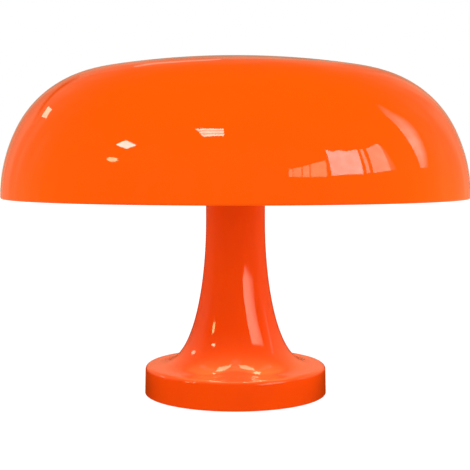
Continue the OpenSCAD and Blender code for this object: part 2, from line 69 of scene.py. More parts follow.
cameraView = {"lens": 80.73, "sensor": 36, "place": (-0.35, -734, 158.8), "pitch": 3.713}


def placeCamera():
    data = bpy.data.cameras.new("photoCamera")
    data.lens = cameraView["lens"]
    data.sensor_width = cameraView["sensor"]
    camera = bpy.data.objects.new("photoCamera", data)
    camera.location = Vector(cameraView["place"]) * mm
    camera.rotation_euler = (radians(90 - cameraView["pitch"]), 0, 0)
    scene.collection.objects.link(camera)
    scene.camera = camera


placeCamera()
print("camera placed")


# Materials

noiseReach = {"From Min": 0.3, "From Max": 0.7}   # a noise seldom leaves this range
paintedTopLightFrom = 0.3   # painted top light starts where the surface's upward share is more than this


def linearFromHex(code):
    channels = [int(code[i:i + 2], 16) / 255 for i in (1, 3, 5)]
    return [c / 12.92 if c <= 0.04045 else ((c + 0.055) / 1.055) ** 2.4 for c in channels] + [1]


def addNode(tree, kind, inputs=None, **settings):
    # Adds one node; an input is a plain value, an output, or a node that gives its first output
    node = tree.nodes.new(kind)
    for name, value in settings.items():
        setattr(node, name, value)
    for name, value in (inputs or {}).items():
        if isinstance(value, bpy.types.Node):
            value = next(output for output in value.outputs if output.enabled)
        if isinstance(value, bpy.types.NodeSocket):
            tree.links.new(value, node.inputs[name])
        else:
            node.inputs[name].default_value = value
    return node


def emptyMaterial(name):
    material = bpy.data.materials.new(name)
    material.use_nodes = True
    material.node_tree.nodes.clear()
    return material, material.node_tree


def makeFinish(name, colour, patch, rough, grain, paintedTopLight=None, **shader):
    # colour: hex; patch: (second hex, size in mm); rough: lowest and highest roughness over the
    # patches; grain: (size, depth) of bumps in mm; paintedTopLight: (hex, share) of painted light on what
    # faces up
    material, tree = emptyMaterial(name)
    place = addNode(tree, "ShaderNodeTexCoord").outputs
    patches = addNode(tree, "ShaderNodeTexNoise", {
        "Vector": place["Object"], "Scale": 1 / (patch[1] * mm), "Detail": 3.0})
    paint = addNode(tree, "ShaderNodeMix", {
        "Factor": patches, "A": linearFromHex(colour), "B": linearFromHex(patch[0])}, data_type="RGBA")
    # Painted light: what faces up is mixed towards a paler colour, as if lit from above
    if paintedTopLight:
        facing = addNode(tree, "ShaderNodeSeparateXYZ", {"Vector": place["Normal"]})
        topLightShare = addNode(tree, "ShaderNodeMapRange", {
            "Value": facing.outputs["Z"], "From Min": paintedTopLightFrom, "To Max": paintedTopLight[1]})
        paint = addNode(tree, "ShaderNodeMix", {
            "Factor": topLightShare, "A": paint, "B": linearFromHex(paintedTopLight[0])}, data_type="RGBA")
    polish = addNode(tree, "ShaderNodeMapRange", {
        "Value": patches, "To Min": rough[0], "To Max": rough[1], **noiseReach})
    bumps = addNode(tree, "ShaderNodeTexNoise", {"Vector": place["Object"], "Scale": 1 / (grain[0] * mm)})
    bump = addNode(tree, "ShaderNodeBump", {"Height": bumps, "Distance": grain[1] * mm})
    surface = addNode(tree, "ShaderNodeBsdfPrincipled", {
        "Base Color": paint, "Roughness": polish, "Normal": bump, **shader})
    addNode(tree, "ShaderNodeOutputMaterial", {"Surface": surface})
    return material


finishes = {
    # ABS from a mirror-polished mould: sharp reflections over a very faint orange peel, which is drawn
    # coarser than the real 3 mm so that it shows
    "shade_plastic": makeFinish("polishedOrangeAbs", "#FB5705", ("#F95404", 60), (0.02, 0.035),
                                (16, 0.001), IOR=1.54),
    # The same plastic and peel in a deeper colour: a little softer in the shine, with painted light paling
    # the foot and the base's top
    # The deeper colour is painted shade: a darker copy of the shade's plastic for the stand under it
    "stand_plastic": makeFinish("polishedDeepOrangeAbs", "#F04A06", ("#E44205", 32), (0.04, 0.08),
                                (14, 0.0015), paintedTopLight=("#FFA060", 0.26), IOR=1.54),
    # Grey iron as cast and blackened: sand grain of half a millimetre and dull patches
    "cast_iron": makeFinish("blackenedCastIron", "#3A3B3D", ("#2C2B2A", 12), (0.55, 0.8),
                            (0.6, 0.12), Metallic=0.6),
    # Steel sheet with black powder coat: fine even pimples that spread the shine
    "cover_steel": makeFinish("blackPowderCoat", "#1B1B1C", ("#212122", 15), (0.42, 0.5),
                              (0.7, 0.03), IOR=1.5),
    # Closed-cell foam: small open cells on the cut face and no shine
    "foot_rubber": makeFinish("closedCellFoam", "#232324", ("#1A1A1B", 3), (0.85, 0.95), (0.5, 0.15)),
    # Moulded rubber: even and nearly matt, with the mould's fine blast
    "grommet_rubber": makeFinish("mouldedRubber", "#1E1E1F", ("#252526", 4), (0.55, 0.65), (0.3, 0.01)),
    # Pressed steel with white enamel: soft shine and a slight wave in the coat
    "hub_steel": makeFinish("whiteEnamel", "#CFCDC6", ("#C8C5BD", 25), (0.18, 0.28), (2.5, 0.02), IOR=1.5),
    # Steel with bright zinc plate: blue-grey, with the plating's cloudy patches
    "zinc_steel": makeFinish("brightZincPlate", "#C6CACE", ("#B4B8BE", 5), (0.22, 0.36),
                             (0.35, 0.004), Metallic=1.0),
    # Turned brass: warm metal, with tool marks so fine that they are only a grain
    "brass": makeFinish("turnedBrass", "#D6B25E", ("#C69D4A", 6), (0.22, 0.34), (0.3, 0.004), Metallic=1.0),
    # Nylon, moulded: milky white and satin
    "bush_plastic": makeFinish("naturalNylon", "#D2CFC4", ("#C9C6B9", 8), (0.38, 0.48),
                               (0.4, 0.005), IOR=1.53),
    # Heat-resistant polyester, moulded in a spark-eroded tool: a fine even grain and little shine
    "holder_plastic": makeFinish("whitePolyester", "#CBC8C0", ("#C3BFB5", 12), (0.4, 0.5),
                                 (0.25, 0.012), IOR=1.55),
    # Steatite ceramic: dry, slightly yellow and speckled
    "insulator_plastic": makeFinish("steatite", "#C4BDAA", ("#B8B09A", 1.5), (0.5, 0.65), (0.3, 0.01)),
    # Silicone insulation: smooth, satin and grabby to dust
    "live_lead": makeFinish("brownSilicone", "#6E4224", ("#5F381D", 3), (0.4, 0.5), (0.4, 0.005)),
    "neutral_lead": makeFinish("blueSilicone", "#2F62A6", ("#28568F", 3), (0.4, 0.5), (0.4, 0.005)),
    # Opal polycarbonate: white all through, with a soft satin shine
    "bulb_opal": makeFinish("opalPolycarbonate", "#DCD9D0", ("#D6D2C8", 18), (0.24, 0.32),
                            (1.2, 0.004), IOR=1.58),
    # White moulded housing over the heat sink: satin with a fine tool grain
    "bulb_housing": makeFinish("whiteHousingPbt", "#D0CFCB", ("#C8C6C0", 10), (0.36, 0.46),
                               (0.25, 0.01), IOR=1.55),
    # Aluminium board under white solder mask: a thin semi-gloss skin
    "bulb_board": makeFinish("whiteSolderMask", "#D6D6D2", ("#CCCCC6", 4), (0.25, 0.35), (0.6, 0.003)),
    # Brass cap with bright nickel plate: whiter than zinc and cleaner in the shine
    "bulb_cap": makeFinish("brightNickelPlate", "#D3D0C8", ("#C6C2B9", 4), (0.16, 0.26),
                           (0.5, 0.003), Metallic=1.0),
    # Black glass between cap and tip: deep black with a wet shine
    "bulb_insulator": makeFinish("blackGlass", "#121216", ("#1A1A1F", 2), (0.08, 0.16),
                                 (0.8, 0.01), IOR=1.6),
}
for part in frame["record"]["subparts"]:
    node = cadNodes[part["node"]]
    node.data.materials.clear()
    node.data.materials.append(finishes[part["material_slot"]])
print("materials made:", len(finishes))


# Outlines

def evenly(first, last, steps):
    return [first + (last - first) * i / steps for i in range(steps + 1)]


def arcPoints(centre, radius, fromDeg, toDeg, steps):
    # Angles are slopes: 0 is the top of the circle, 90 its outer side
    slopes = [radians(slope) for slope in evenly(fromDeg, toDeg, steps)]
    return [(centre[0] + radius * sin(a), centre[1] + radius * cos(a)) for a in slopes]


def softened(points, steps=4):
    # A corner given as (distance, height, radius) is rounded; the others stay sharp
    out = []
    for i, point in enumerate(points):
        if len(point) < 3:
            out.append(tuple(point))
            continue
        corner = Vector(point[:2])
        before = Vector(points[i - 1][:2]) - corner
        after = Vector(points[(i + 1) % len(points)][:2]) - corner
        half = before.angle(after) / 2
        # A rounding takes less than half of either side
        reach = min(point[2] / tan(half), before.length * 0.49, after.length * 0.49)
        radius = reach * tan(half)
        middle = corner + (before.normalized() + after.normalized()).normalized() * (radius / sin(half))
        first = corner + before.normalized() * reach - middle
        last = corner + after.normalized() * reach - middle
        turn = first.angle_signed(last)
        for step in range(steps + 1):
            out.append(tuple(middle + Matrix.Rotation(-turn * step / steps, 2) @ first))
    return out


def raised(points, height):
    return [(r, z + height, *rounding) for r, z, *rounding in points]


# Geometry Nodes: a lathe that turns an outline, and a ring of copies

weldWithin = 0.001   # points nearer than this become one


def startTree(name, inputs):
    tree = bpy.data.node_groups.new(name, "GeometryNodeTree")
    tree.interface.new_socket("Geometry", in_out="INPUT", socket_type="NodeSocketGeometry")
    tree.interface.new_socket("Geometry", in_out="OUTPUT", socket_type="NodeSocketGeometry")
    for label, kind in inputs.items():
        tree.interface.new_socket(label, in_out="INPUT", socket_type="NodeSocket" + kind)
    return tree, addNode(tree, "NodeGroupInput").outputs


def endTree(tree, geometry, material):
    real = addNode(tree, "GeometryNodeRealizeInstances", {"Geometry": geometry})
    painted = addNode(tree, "GeometryNodeSetMaterial", {"Geometry": real, "Material": material})
    addNode(tree, "NodeGroupOutput", {"Geometry": painted})
    return tree


def makeLathe():
    # The outline's points stand in a row: row u of a grid takes point u, turned by column v
    tree, given = startTree("latheOutline", {"Rows": "Int", "Turn Steps": "Int", "Material": "Material"})
    columns = addNode(tree, "ShaderNodeMath", {0: given["Turn Steps"], 1: 1}, operation="ADD")
    grid = addNode(tree, "GeometryNodeMeshGrid", {
        "Size X": 1, "Size Y": 1, "Vertices X": given["Rows"], "Vertices Y": columns})
    uv = addNode(tree, "ShaderNodeSeparateXYZ", {"Vector": grid.outputs["UV Map"]}).outputs
    lastRow = addNode(tree, "ShaderNodeMath", {0: given["Rows"], 1: 1}, operation="SUBTRACT")
    row = addNode(tree, "ShaderNodeMath", {0: uv["X"], 1: lastRow}, operation="MULTIPLY")
    whole = addNode(tree, "ShaderNodeMath", {0: row}, operation="ROUND")
    points = addNode(tree, "GeometryNodeAttributeDomainSize", {"Geometry": given["Geometry"]})
    index = addNode(tree, "ShaderNodeMath", {0: whole, 1: points.outputs["Point Count"]}, operation="MODULO")
    spot = addNode(tree, "GeometryNodeInputPosition")
    outline = addNode(tree, "GeometryNodeSampleIndex", {
        "Geometry": given["Geometry"], "Value": spot, "Index": index}, data_type="FLOAT_VECTOR")
    angle = addNode(tree, "ShaderNodeMath", {0: uv["Y"], 1: 2 * pi}, operation="MULTIPLY")
    turned = addNode(tree, "ShaderNodeVectorRotate", {"Vector": outline, "Axis": (0, 0, 1), "Angle": angle})
    shaped = addNode(tree, "GeometryNodeSetPosition", {"Geometry": grid, "Position": turned})
    closed = addNode(tree, "GeometryNodeMergeByDistance", {"Geometry": shaped, "Distance": weldWithin * mm})
    return endTree(tree, closed, given["Material"])


def makeRing():
    # Copies of the given mesh stand round the upright axis, each turned to face outwards
    tree, given = startTree("ringOfCopies", {
        "Count": "Int", "Ring Radius": "Float", "First Angle": "Float", "Material": "Material"})
    number = addNode(tree, "GeometryNodeInputIndex")
    step = addNode(tree, "ShaderNodeMath", {0: 2 * pi, 1: given["Count"]}, operation="DIVIDE")
    angle = addNode(tree, "ShaderNodeMath", {0: number, 1: step, 2: given["First Angle"]},
                    operation="MULTIPLY_ADD")
    reach = addNode(tree, "ShaderNodeCombineXYZ", {"X": given["Ring Radius"]})
    spot = addNode(tree, "ShaderNodeVectorRotate", {"Vector": reach, "Axis": (0, 0, 1), "Angle": angle})
    spots = addNode(tree, "GeometryNodePoints", {"Count": given["Count"], "Position": spot})
    turn = addNode(tree, "ShaderNodeCombineXYZ", {"Z": angle})
    copies = addNode(tree, "GeometryNodeInstanceOnPoints", {
        "Points": spots, "Instance": given["Geometry"], "Rotation": turn})
    return endTree(tree, copies, given["Material"])


latheTree = makeLathe()
ringTree = makeRing()


def meshThrough(tree, mesh, **inputs):
    # Runs a mesh through a tree and returns the plain mesh that comes out
    carrier = bpy.data.objects.new("carrier", mesh)
    scene.collection.objects.link(carrier)
    modifier = carrier.modifiers.new("nodes", "NODES")
    modifier.node_group = tree
    sockets = {s.name: s.identifier for s in tree.interface.items_tree if s.in_out == "INPUT"}
    for name, value in inputs.items():
        modifier[sockets[name]] = value
    made = bpy.data.meshes.new_from_object(carrier.evaluated_get(bpy.context.evaluated_depsgraph_get()))
    bpy.data.objects.remove(carrier)
    return made


def turnedMesh(outline, slot, steps=96, closed=False):
    # Turns an outline round the upright axis
    row = bpy.data.meshes.new("outline")
    row.from_pydata([(r * mm, 0, z * mm) for r, z in outline], [], [])
    mesh = meshThrough(latheTree, row, **{
        "Rows": len(outline) + closed, "Turn Steps": steps, "Material": finishes[slot]})
    shape = bmesh.new()
    shape.from_mesh(mesh)
    bmesh.ops.delete(shape, geom=[e for e in shape.edges if not e.link_faces], context="EDGES")
    bmesh.ops.delete(shape, geom=[v for v in shape.verts if not v.link_faces], context="VERTS")
    bmesh.ops.recalc_face_normals(shape, faces=shape.faces)
    shape.to_mesh(mesh)
    shape.free()
    return mesh


def ringMesh(mesh, slot, count, radius=0, firstDeg=0):
    return meshThrough(ringTree, mesh, **{
        "Count": count, "Ring Radius": radius * mm, "First Angle": radians(firstDeg),
        "Material": finishes[slot]})


def plainMesh(shape):
    mesh = bpy.data.meshes.new("plain")
    shape.to_mesh(mesh)
    shape.free()
    return mesh


def joined(meshes):
    shape = bmesh.new()
    for mesh in meshes:
        shape.from_mesh(mesh)
    return plainMesh(shape)


def skinnedMesh(rows, closed=False):
    # Skin over rows of points that each go once round; the last row meets the first where it is
    # closed, and otherwise both ends have a face
    shape = bmesh.new()
    grid = [[shape.verts.new(Vector(point) * mm) for point in row] for row in rows]
    ahead = grid[1:] + grid[:1] if closed else grid[1:]
    for first, second in zip(grid, ahead):
        for i in range(len(first)):
            j = (i + 1) % len(first)
            shape.faces.new((first[i], first[j], second[j], second[i]))
    if not closed:
        shape.faces.new(reversed(grid[0]))
        shape.faces.new(grid[-1])
    bmesh.ops.recalc_face_normals(shape, faces=shape.faces)
    return plainMesh(shape)


def settle(piece):
    # Makes what the modifiers show the piece's own plain mesh
    mesh = bpy.data.meshes.new_from_object(piece.evaluated_get(bpy.context.evaluated_depsgraph_get()))
    piece.modifiers.clear()
    piece.data = mesh


def carved(mesh, tool, operation="DIFFERENCE"):
    # Cuts the tool's shape from the mesh, or keeps only what lies within it
    blank, cutter = bpy.data.objects.new("blank", mesh), bpy.data.objects.new("cutter", tool)
    scene.collection.objects.link(blank)
    scene.collection.objects.link(cutter)
    cut = blank.modifiers.new("cut", "BOOLEAN")
    cut.operation, cut.object, cut.solver, cut.use_self = operation, cutter, "EXACT", True
    settle(blank)
    mesh = blank.data
    bpy.data.objects.remove(blank)
    bpy.data.objects.remove(cutter)
    return mesh


def moved(mesh, matrix):
    out = mesh.copy()
    out.transform(matrix)
    return out


def tilted(mesh, deg, y=0, z=0):
    # The mesh turned about X, then set at its place
    return moved(mesh, Matrix.Translation(Vector((0, y, z)) * mm) @ Matrix.Rotation(radians(deg), 4, "X"))


def towards(k, height):
    # Turns +Z outwards along lampholder k: 1 right, 2 back, 3 left, 4 front
    lift = Matrix.Translation((0, 0, height * mm))
    return Matrix.Rotation(radians(90 * (k - 1)), 4, "Z") @ lift @ Matrix.Rotation(radians(90), 4, "Y")


def boxOf(node):
    low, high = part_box(node)
    return low / mm, high / mm


edgeForm = {"sharpFromDeg": 32, "bevelFromDeg": 35, "bevelSteps": 3}


def addPiece(name, mesh, slot, body, nodes, evenNormals=True, bevel=0):
    # bevel: the width in mm by which the edges are softened
    mesh.name = name
    mesh.materials.clear()
    mesh.materials.append(finishes[slot])
    for polygon in mesh.polygons:
        polygon.use_smooth = True
    piece = bpy.data.objects.new(name, mesh)
    scene.collection.objects.link(piece)
    if bevel:
        soften = piece.modifiers.new("softEdges", "BEVEL")
        soften.width, soften.segments = bevel * mm, edgeForm["bevelSteps"]
        soften.limit_method, soften.angle_limit = "ANGLE", radians(edgeForm["bevelFromDeg"])
    else:
        mesh.set_sharp_from_angle(angle=radians(edgeForm["sharpFromDeg"]))
    if evenNormals:
        weigh = piece.modifiers.new("evenNormals", "WEIGHTED_NORMAL")
        weigh.keep_sharp = True
        settle(piece)
    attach(piece, body)
    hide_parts(*nodes)


# Shade: three arcs in line, a round lip, and the boss with its gussets under the crown

shadeForm = {"crownRadius": 540, "shoulderRadius": 73.7, "sideRadius": 104.9, "handOverDeg": 63,
             "wall": 3, "lipDegs": (94, 266), "bossRadius": 12.5, "bossFoot": 208.19, "bossEdge": 0.6,
             "bossFillet": 1.5, "boreRadius": 8.66, "boreTop": 225.29, "boreEdge": 0.5,
             "steps": {"crown": 28, "innerCrown": 20, "shoulder": 32, "side": 20, "lip": 10, "fillet": 5}}
gussetForm = {"count": 6, "firstDeg": 30, "reach": 40, "thickness": 2, "edge": 0.5, "rise": 4, "depth": 3,
              "inBoss": 1, "inCrown": 1, "underOuterEnd": 0.2}


def shadeArcs():
    # Centres of the side, shoulder and crown, each arc running on from the last
    low, high = boxOf("shade")
    radius, rim = high.x, low.z
    slope = radians(shadeForm["handOverDeg"])
    crown, shoulder, side = (shadeForm[k] for k in ("crownRadius", "shoulderRadius", "sideRadius"))
    crownSlope = asin((radius - side + (side - shoulder) * sin(slope)) / (crown - shoulder))
    sideCentre = Vector((radius - side, rim))
    shoulderCentre = sideCentre + (side - shoulder) * Vector((sin(slope), cos(slope)))
    crownCentre = shoulderCentre - (crown - shoulder) * Vector((sin(crownSlope), cos(crownSlope)))
    return sideCentre, shoulderCentre, crownCentre, degrees(crownSlope)


def shadeOutline():
    form, steps = shadeForm, shadeForm["steps"]
    sideCentre, shoulderCentre, crownCentre, crownDeg = shadeArcs()
    wall, fillet, handOver = form["wall"], form["bossFillet"], form["handOverDeg"]
    crown, shoulder, side = form["crownRadius"], form["shoulderRadius"], form["sideRadius"]
    lip = wall / 2
    lipDeg, innerLipDeg = degrees(acos(lip / side)), degrees(acos(lip / (side - wall)))
    outer = (arcPoints(crownCentre, crown, 0, crownDeg, steps["crown"])[:-1]
             + arcPoints(shoulderCentre, shoulder, crownDeg, handOver, steps["shoulder"])[:-1]
             + arcPoints(sideCentre, side, handOver, lipDeg, steps["side"]))
    edge = arcPoints((sideCentre.x + side - lip, sideCentre.y + lip), lip, *form["lipDegs"], steps["lip"])
    bossDeg = degrees(asin((form["bossRadius"] + fillet) / (crown - wall)))
    inner = (arcPoints(sideCentre, side - wall, innerLipDeg, handOver, steps["side"])[:-1]
             + arcPoints(shoulderCentre, shoulder - wall, handOver, crownDeg, steps["shoulder"])[:-1]
             + arcPoints(crownCentre, crown - wall, crownDeg, bossDeg, steps["innerCrown"]))
    boss = arcPoints((inner[-1][0], inner[-1][1] - fillet), fillet, 0, -90, steps["fillet"])[1:]
    foot, bore, top = form["bossFoot"], form["boreRadius"], form["boreTop"]
    socket = softened([boss[-1], (form["bossRadius"], foot, form["bossEdge"]),
                       (bore, foot, form["boreEdge"]), (bore, top), (0, top)])[1:]
    return outer + edge + inner + boss + socket


def gussetMesh():
    # One web between boss and crown, its free edge chamfered
    form = gussetForm
    inner, reach = shadeForm["bossRadius"] - form["inBoss"], form["reach"]
    underCrown = shadeArcs()[2].y + shadeForm["crownRadius"] - shadeForm["wall"]
    half, soft = form["thickness"] / 2, form["edge"]
    lowEdge = [(inner, shadeForm["bossFoot"] + form["rise"]), (reach, underCrown - form["depth"])]
    topEdge = [(reach, underCrown - form["underOuterEnd"]), (inner, underCrown + form["inCrown"])]
    rows = []
    for side, lift in ((-half, soft), (-half + soft, 0), (half - soft, 0), (half, soft)):
        rows.append([(r, side, z + lift) for r, z in lowEdge] + [(r, side, z) for r, z in topEdge])
    return skinnedMesh(rows)


def makeShade():
    dome = turnedMesh(shadeOutline(), "shade_plastic", steps=256)
    gussets = ringMesh(gussetMesh(), "shade_plastic", gussetForm["count"], firstDeg=gussetForm["firstDeg"])
    addPiece("shadeDome", joined([dome, gussets]), "shade_plastic", "shade", ["shade"], evenNormals=False)
    print("shade made")


makeShade()


# Stand: base disc, trumpet flare and stem in one shell, with the cord's hole at the back

standForm = {"baseRadius": 63, "draft": 0.4, "baseHeight": 20.6, "edgeRadius": 3, "flareRadius": 57,
             "stemRadius": 20.6, "flareTop": 120, "footPower": 2.67, "neckPower": 1.91, "wall": 3,
             "softEdge": 0.5, "flareStepDeg": 1.25, "innerFlareDeg": 6, "cordHeight": 10.5, "cordHole": 5}
ribForm = {"count": 8, "thickness": 2, "from": 26, "to": 55, "foot": 15, "inset": 1.8,
           "flareDegs": range(80, 2, -3)}
bossForm = {"count": 4, "circle": 40, "firstDeg": 45, "radius": 4.5, "bore": 1.6, "bottom": 4.5, "top": 60}
trimForm = {"radius": 56, "top": 100, "flareDegs": range(6, 84, 3)}


def flarePoint(t, inset=0):
    # Point of the flare at t from 0, its foot, to 90 degrees, the stem, drawn inwards by inset
    form = standForm
    a = radians(t)
    swing, rise = form["flareRadius"] - form["stemRadius"], form["flareTop"] - form["baseHeight"]
    foot, neck = 2 / form["footPower"], 2 / form["neckPower"]
    point = Vector((form["flareRadius"] - swing * sin(a) ** foot,
                    form["baseHeight"] + rise * (1 - cos(a) ** neck)))
    if not inset:
        return tuple(point)
    along = Vector((-swing * foot * sin(a) ** (foot - 1) * cos(a),
                    rise * neck * cos(a) ** (neck - 1) * sin(a)))
    return tuple(point + inset * Vector((-along.y, along.x)).normalized())


def standOutline():
    form = standForm
    low, high = boxOf("body_shell")
    foot, top = low.z, high.z
    wall, soft, base, deck = form["wall"], form["softEdge"], form["baseRadius"], form["baseHeight"]
    stem, neck = form["stemRadius"], form["flareTop"]
    footEdge = base + form["draft"]
    outside = softened([(footEdge - wall, foot), (footEdge, foot, soft), (base, deck, form["edgeRadius"]),
                        (form["flareRadius"], deck)], steps=8)
    degs = [t * form["flareStepDeg"] for t in range(1, round(90 / form["flareStepDeg"]))]
    pipe = softened([(stem, neck), (stem, top, soft), (stem - wall, top, soft), (stem - wall, neck)])
    # Near its foot the inner curve would cross the ceiling
    inside = [flarePoint(t, wall) for t in reversed(degs) if t > form["innerFlareDeg"]]
    ceiling = softened([inside[-1], (form["flareRadius"], deck - wall), (base - wall, deck - wall, soft),
                        (footEdge - wall, foot)])[1:-1]
    return outside + [flarePoint(t) for t in degs] + pipe + inside + ceiling


def ribMesh():
    # One upright web that ends within the flare's wall
    form = ribForm
    curve = [flarePoint(t, form["inset"]) for t in form["flareDegs"]]
    tops = [(r, z) for r, z in curve if form["from"] < r < form["to"]]
    outline = [(form["from"], form["foot"])] + tops + [(form["to"], form["foot"])]
    half = form["thickness"] / 2
    return skinnedMesh([[(r, side, z) for r, z in outline] for side in (-half, half)])


def bossMesh():
    # The screw bosses grow into the flare's wall, so they end halfway through it
    form, space = bossForm, trimForm
    tube = turnedMesh([(form["bore"], form["bottom"]), (form["radius"], form["bottom"]),
                       (form["radius"], form["top"]), (form["bore"], form["top"])],
                      "stand_plastic", steps=48, closed=True)
    curve = [flarePoint(t, standForm["wall"] / 2) for t in space["flareDegs"]]
    core = turnedMesh([(0, 0), (space["radius"], 0)] + curve + [(0, space["top"])], "stand_plastic")
    ring = ringMesh(tube, "stand_plastic", form["count"], form["circle"], form["firstDeg"])
    return carved(ring, core, "INTERSECT")


def makeStand():
    form = standForm
    shell = turnedMesh(standOutline(), "stand_plastic", steps=256, closed=True)
    hole, reach = form["cordHole"], form["wall"] + form["cordHole"]
    drill = turnedMesh([(0, -reach), (hole, -reach), (hole, reach), (0, reach)], "stand_plastic", steps=64)
    shell = carved(shell, tilted(drill, 90, form["baseRadius"], form["cordHeight"]))
    addPiece("standBody", shell, "stand_plastic", "stand", ["body_shell"], evenNormals=False)
    ribs = ringMesh(ribMesh(), "stand_plastic", ribForm["count"])
    addPiece("standRibs", joined([ribs, bossMesh()]), "stand_plastic", "stand", [])
    print("stand made")


makeStand()


# Rubber: the foot ring with its rounded edges, and the grommet in the cord's hole

footRingForm = {"width": 9, "edge": 0.6}
grommetForm = {"bore": 3.1, "neck": 4.9, "flange": 2, "innerEdge": 0.7, "grooveEdge": 0.3,
               "outerEdge": 1.1, "mouthEdge": 0.9}


def makeRubber():
    low, high = boxOf("foot_ring")
    outer, inner, soft = high.x, high.x - footRingForm["width"], footRingForm["edge"]
    ring = softened([(r, z, soft) for r, z in (
        (outer, low.z), (outer, high.z), (inner, high.z), (inner, low.z))])
    addPiece("footRing", turnedMesh(ring, "foot_rubber", steps=128, closed=True), "foot_rubber", "stand",
             ["foot_ring"])
    form = grommetForm
    low, high = boxOf("cord_grommet")
    start, end, rim, soft, groove = low.y, high.y, (high.z - low.z) / 2, form["innerEdge"], form["grooveEdge"]
    groovesAt = start + form["flange"], end - form["flange"]
    grommet = softened([
        (form["bore"], start, soft), (rim, start, soft), (rim, groovesAt[0], groove),
        (form["neck"], groovesAt[0]), (form["neck"], groovesAt[1]), (rim, groovesAt[1], groove),
        (rim, end, form["outerEdge"]), (form["bore"], end, form["mouthEdge"])])
    mesh = tilted(turnedMesh(grommet, "grommet_rubber", steps=64, closed=True), -90, z=(low.z + high.z) / 2)
    addPiece("cordGrommet", mesh, "grommet_rubber", "stand", ["cord_grommet"])
    print("rubber made")


makeRubber()


# Pressed and moulded pieces that keep the frame's own form, with their edges softened

softPieces = {
    "hubHousing": ("hub_housing", "hub_steel", "stand", 0.8),
    "hubCover": ("hub_cover", "hub_steel", "stand", 0.8),
    "shadePost": ("shade_post", "zinc_steel", "stand", 0.35),
    "socketBush": ("socket_bush", "bush_plastic", "shade", 0.4),
    "bottomCover": ("bottom_cover", "cover_steel", "stand", 0.5),
}
cleaning = {"mergeWithin": 0.002, "flatDeg": 0.3}


def softCopy(node):
    shape = bmesh.new()
    shape.from_mesh(cadNodes[node].data)
    bmesh.ops.remove_doubles(shape, verts=shape.verts, dist=cleaning["mergeWithin"] * mm)
    bmesh.ops.dissolve_limit(shape, angle_limit=radians(cleaning["flatDeg"]), verts=shape.verts,
                             edges=shape.edges)
    return plainMesh(shape)


for name, (node, slot, body, width) in softPieces.items():
    addPiece(name, softCopy(node), slot, body, [node], bevel=width)
print("soft-edged pieces made")


# Screws: one screw is turned and its cross cut, and the ring tree sets the rest

coverScrew = {"head": 3, "headEdge": 0.15, "headHeight": 1.5, "shank": 1.5, "length": 13, "point": 2,
              "cross": (3.4, 0.75, 1)}
hubScrew = {"head": 2.6, "headEdge": 0.2, "headHeight": 1.8, "crown": 0.3, "crownEdge": 1, "shank": 1.4,
            "length": 10, "point": 2, "cross": (2.9, 0.62, 1.1), "count": 4, "firstDeg": 45}
crossForm = {"bottomShare": 0.45, "topShare": 1.2, "past": 0.5}


def crossMesh(size, height):
    # Two bars that taper to the bottom, standing crosswise
    length, width, depth = size
    form, rows = crossForm, []
    for z, share in ((height - depth, form["bottomShare"]), (height + form["past"], form["topShare"])):
        rows.append([(x * length / 2 * share, y * width / 2 * share, z)
                     for x, y in ((-1, -1), (1, -1), (1, 1), (-1, 1))])
    bar = skinnedMesh(rows)
    return joined([bar, moved(bar, Matrix.Rotation(radians(90), 4, "Z"))])


def screwMesh(outline, size, height):
    return carved(turnedMesh(outline, "zinc_steel", steps=48), crossMesh(size, height))


def makeScrews():
    screw = coverScrew
    # Countersunk, head down in the cover's face: built head up, then turned over
    end = -screw["length"]
    sunk = softened([(0, 0), (screw["head"], 0, screw["headEdge"]), (screw["shank"], -screw["headHeight"]),
                     (screw["shank"], end + screw["point"]), (0, end)])
    mesh = tilted(screwMesh(sunk, screw["cross"], 0), 180, z=boxOf("cover_screws")[0].z)
    ring = ringMesh(mesh, "zinc_steel", bossForm["count"], bossForm["circle"], bossForm["firstDeg"])
    addPiece("coverScrews", ring, "zinc_steel", "stand", ["cover_screws"])
    screw = hubScrew
    high = boxOf("hub_cover_screws")[1]
    seat = high.z - screw["headHeight"]
    end = seat - screw["length"]
    pan = softened([(0, high.z), (screw["head"] - screw["crown"], high.z, screw["crownEdge"]),
                    (screw["head"], seat, screw["headEdge"]), (screw["shank"], seat),
                    (screw["shank"], end + screw["point"]), (0, end)])
    circle = (high.x - screw["head"]) * sqrt(2)   # high.x is where a head at 45 degrees ends
    mesh = screwMesh(pan, screw["cross"], high.z)
    ring = ringMesh(mesh, "zinc_steel", screw["count"], circle, screw["firstDeg"])
    addPiece("hubCoverScrews", ring, "zinc_steel", "stand", ["hub_cover_screws"])
    print("screws made")


makeScrews()


# Lampholders: rear caps, front skirts with grip ribs, and threaded shells inside. The skirt's and
# cap's outlines count their heights from the joint between them, the mouth or the hub's face.

skirtForm = {"fromJoint": [(12.1, 0), (13.05, 0, 0.3), (13.05, 8, 0.5), (11.8, 11, 1.5), (11.2, 12.5, 1.5)],
             "fromMouth": [(11.2, 0, 0.9), (7.93, 0, 0.5)], "backToJoint": [(7.93, 13), (12.1, 13)]}
gripForm = {"count": 40, "radius": 13.5, "width": 1.15, "depth": 0.45, "from": 0.6, "to": 7.6,
            "root": 0.3, "shoulder": 0.8, "slope": 0.5, "end": 0.1}
capForm = {"fromHub": [(5.1, 0), (8, 0, 0.4), (8, 3, 0.8), (9.2, 5.4, 1.5)],
           "fromJoint": [(12.5, -3.4, 1.5), (13.5, -2, 0.8), (13.5, 0, 0.3), (12, 0), (12, 12), (10.5, 12),
                         (10.5, 2), (9, 2), (9, -3), (7, -5), (5.1, -6)]}
shellForm = {"length": 17, "bore": 7.03, "wall": 0.5, "flange": 10, "flangeHeight": 0.7, "tubeFrom": 0.8,
             "threadFrom": 1, "threadPast": 2, "threadDepth": 0.36, "steps": 64}
threadPitch = 2.82
holders = 4   # lampholders, and as many bulbs


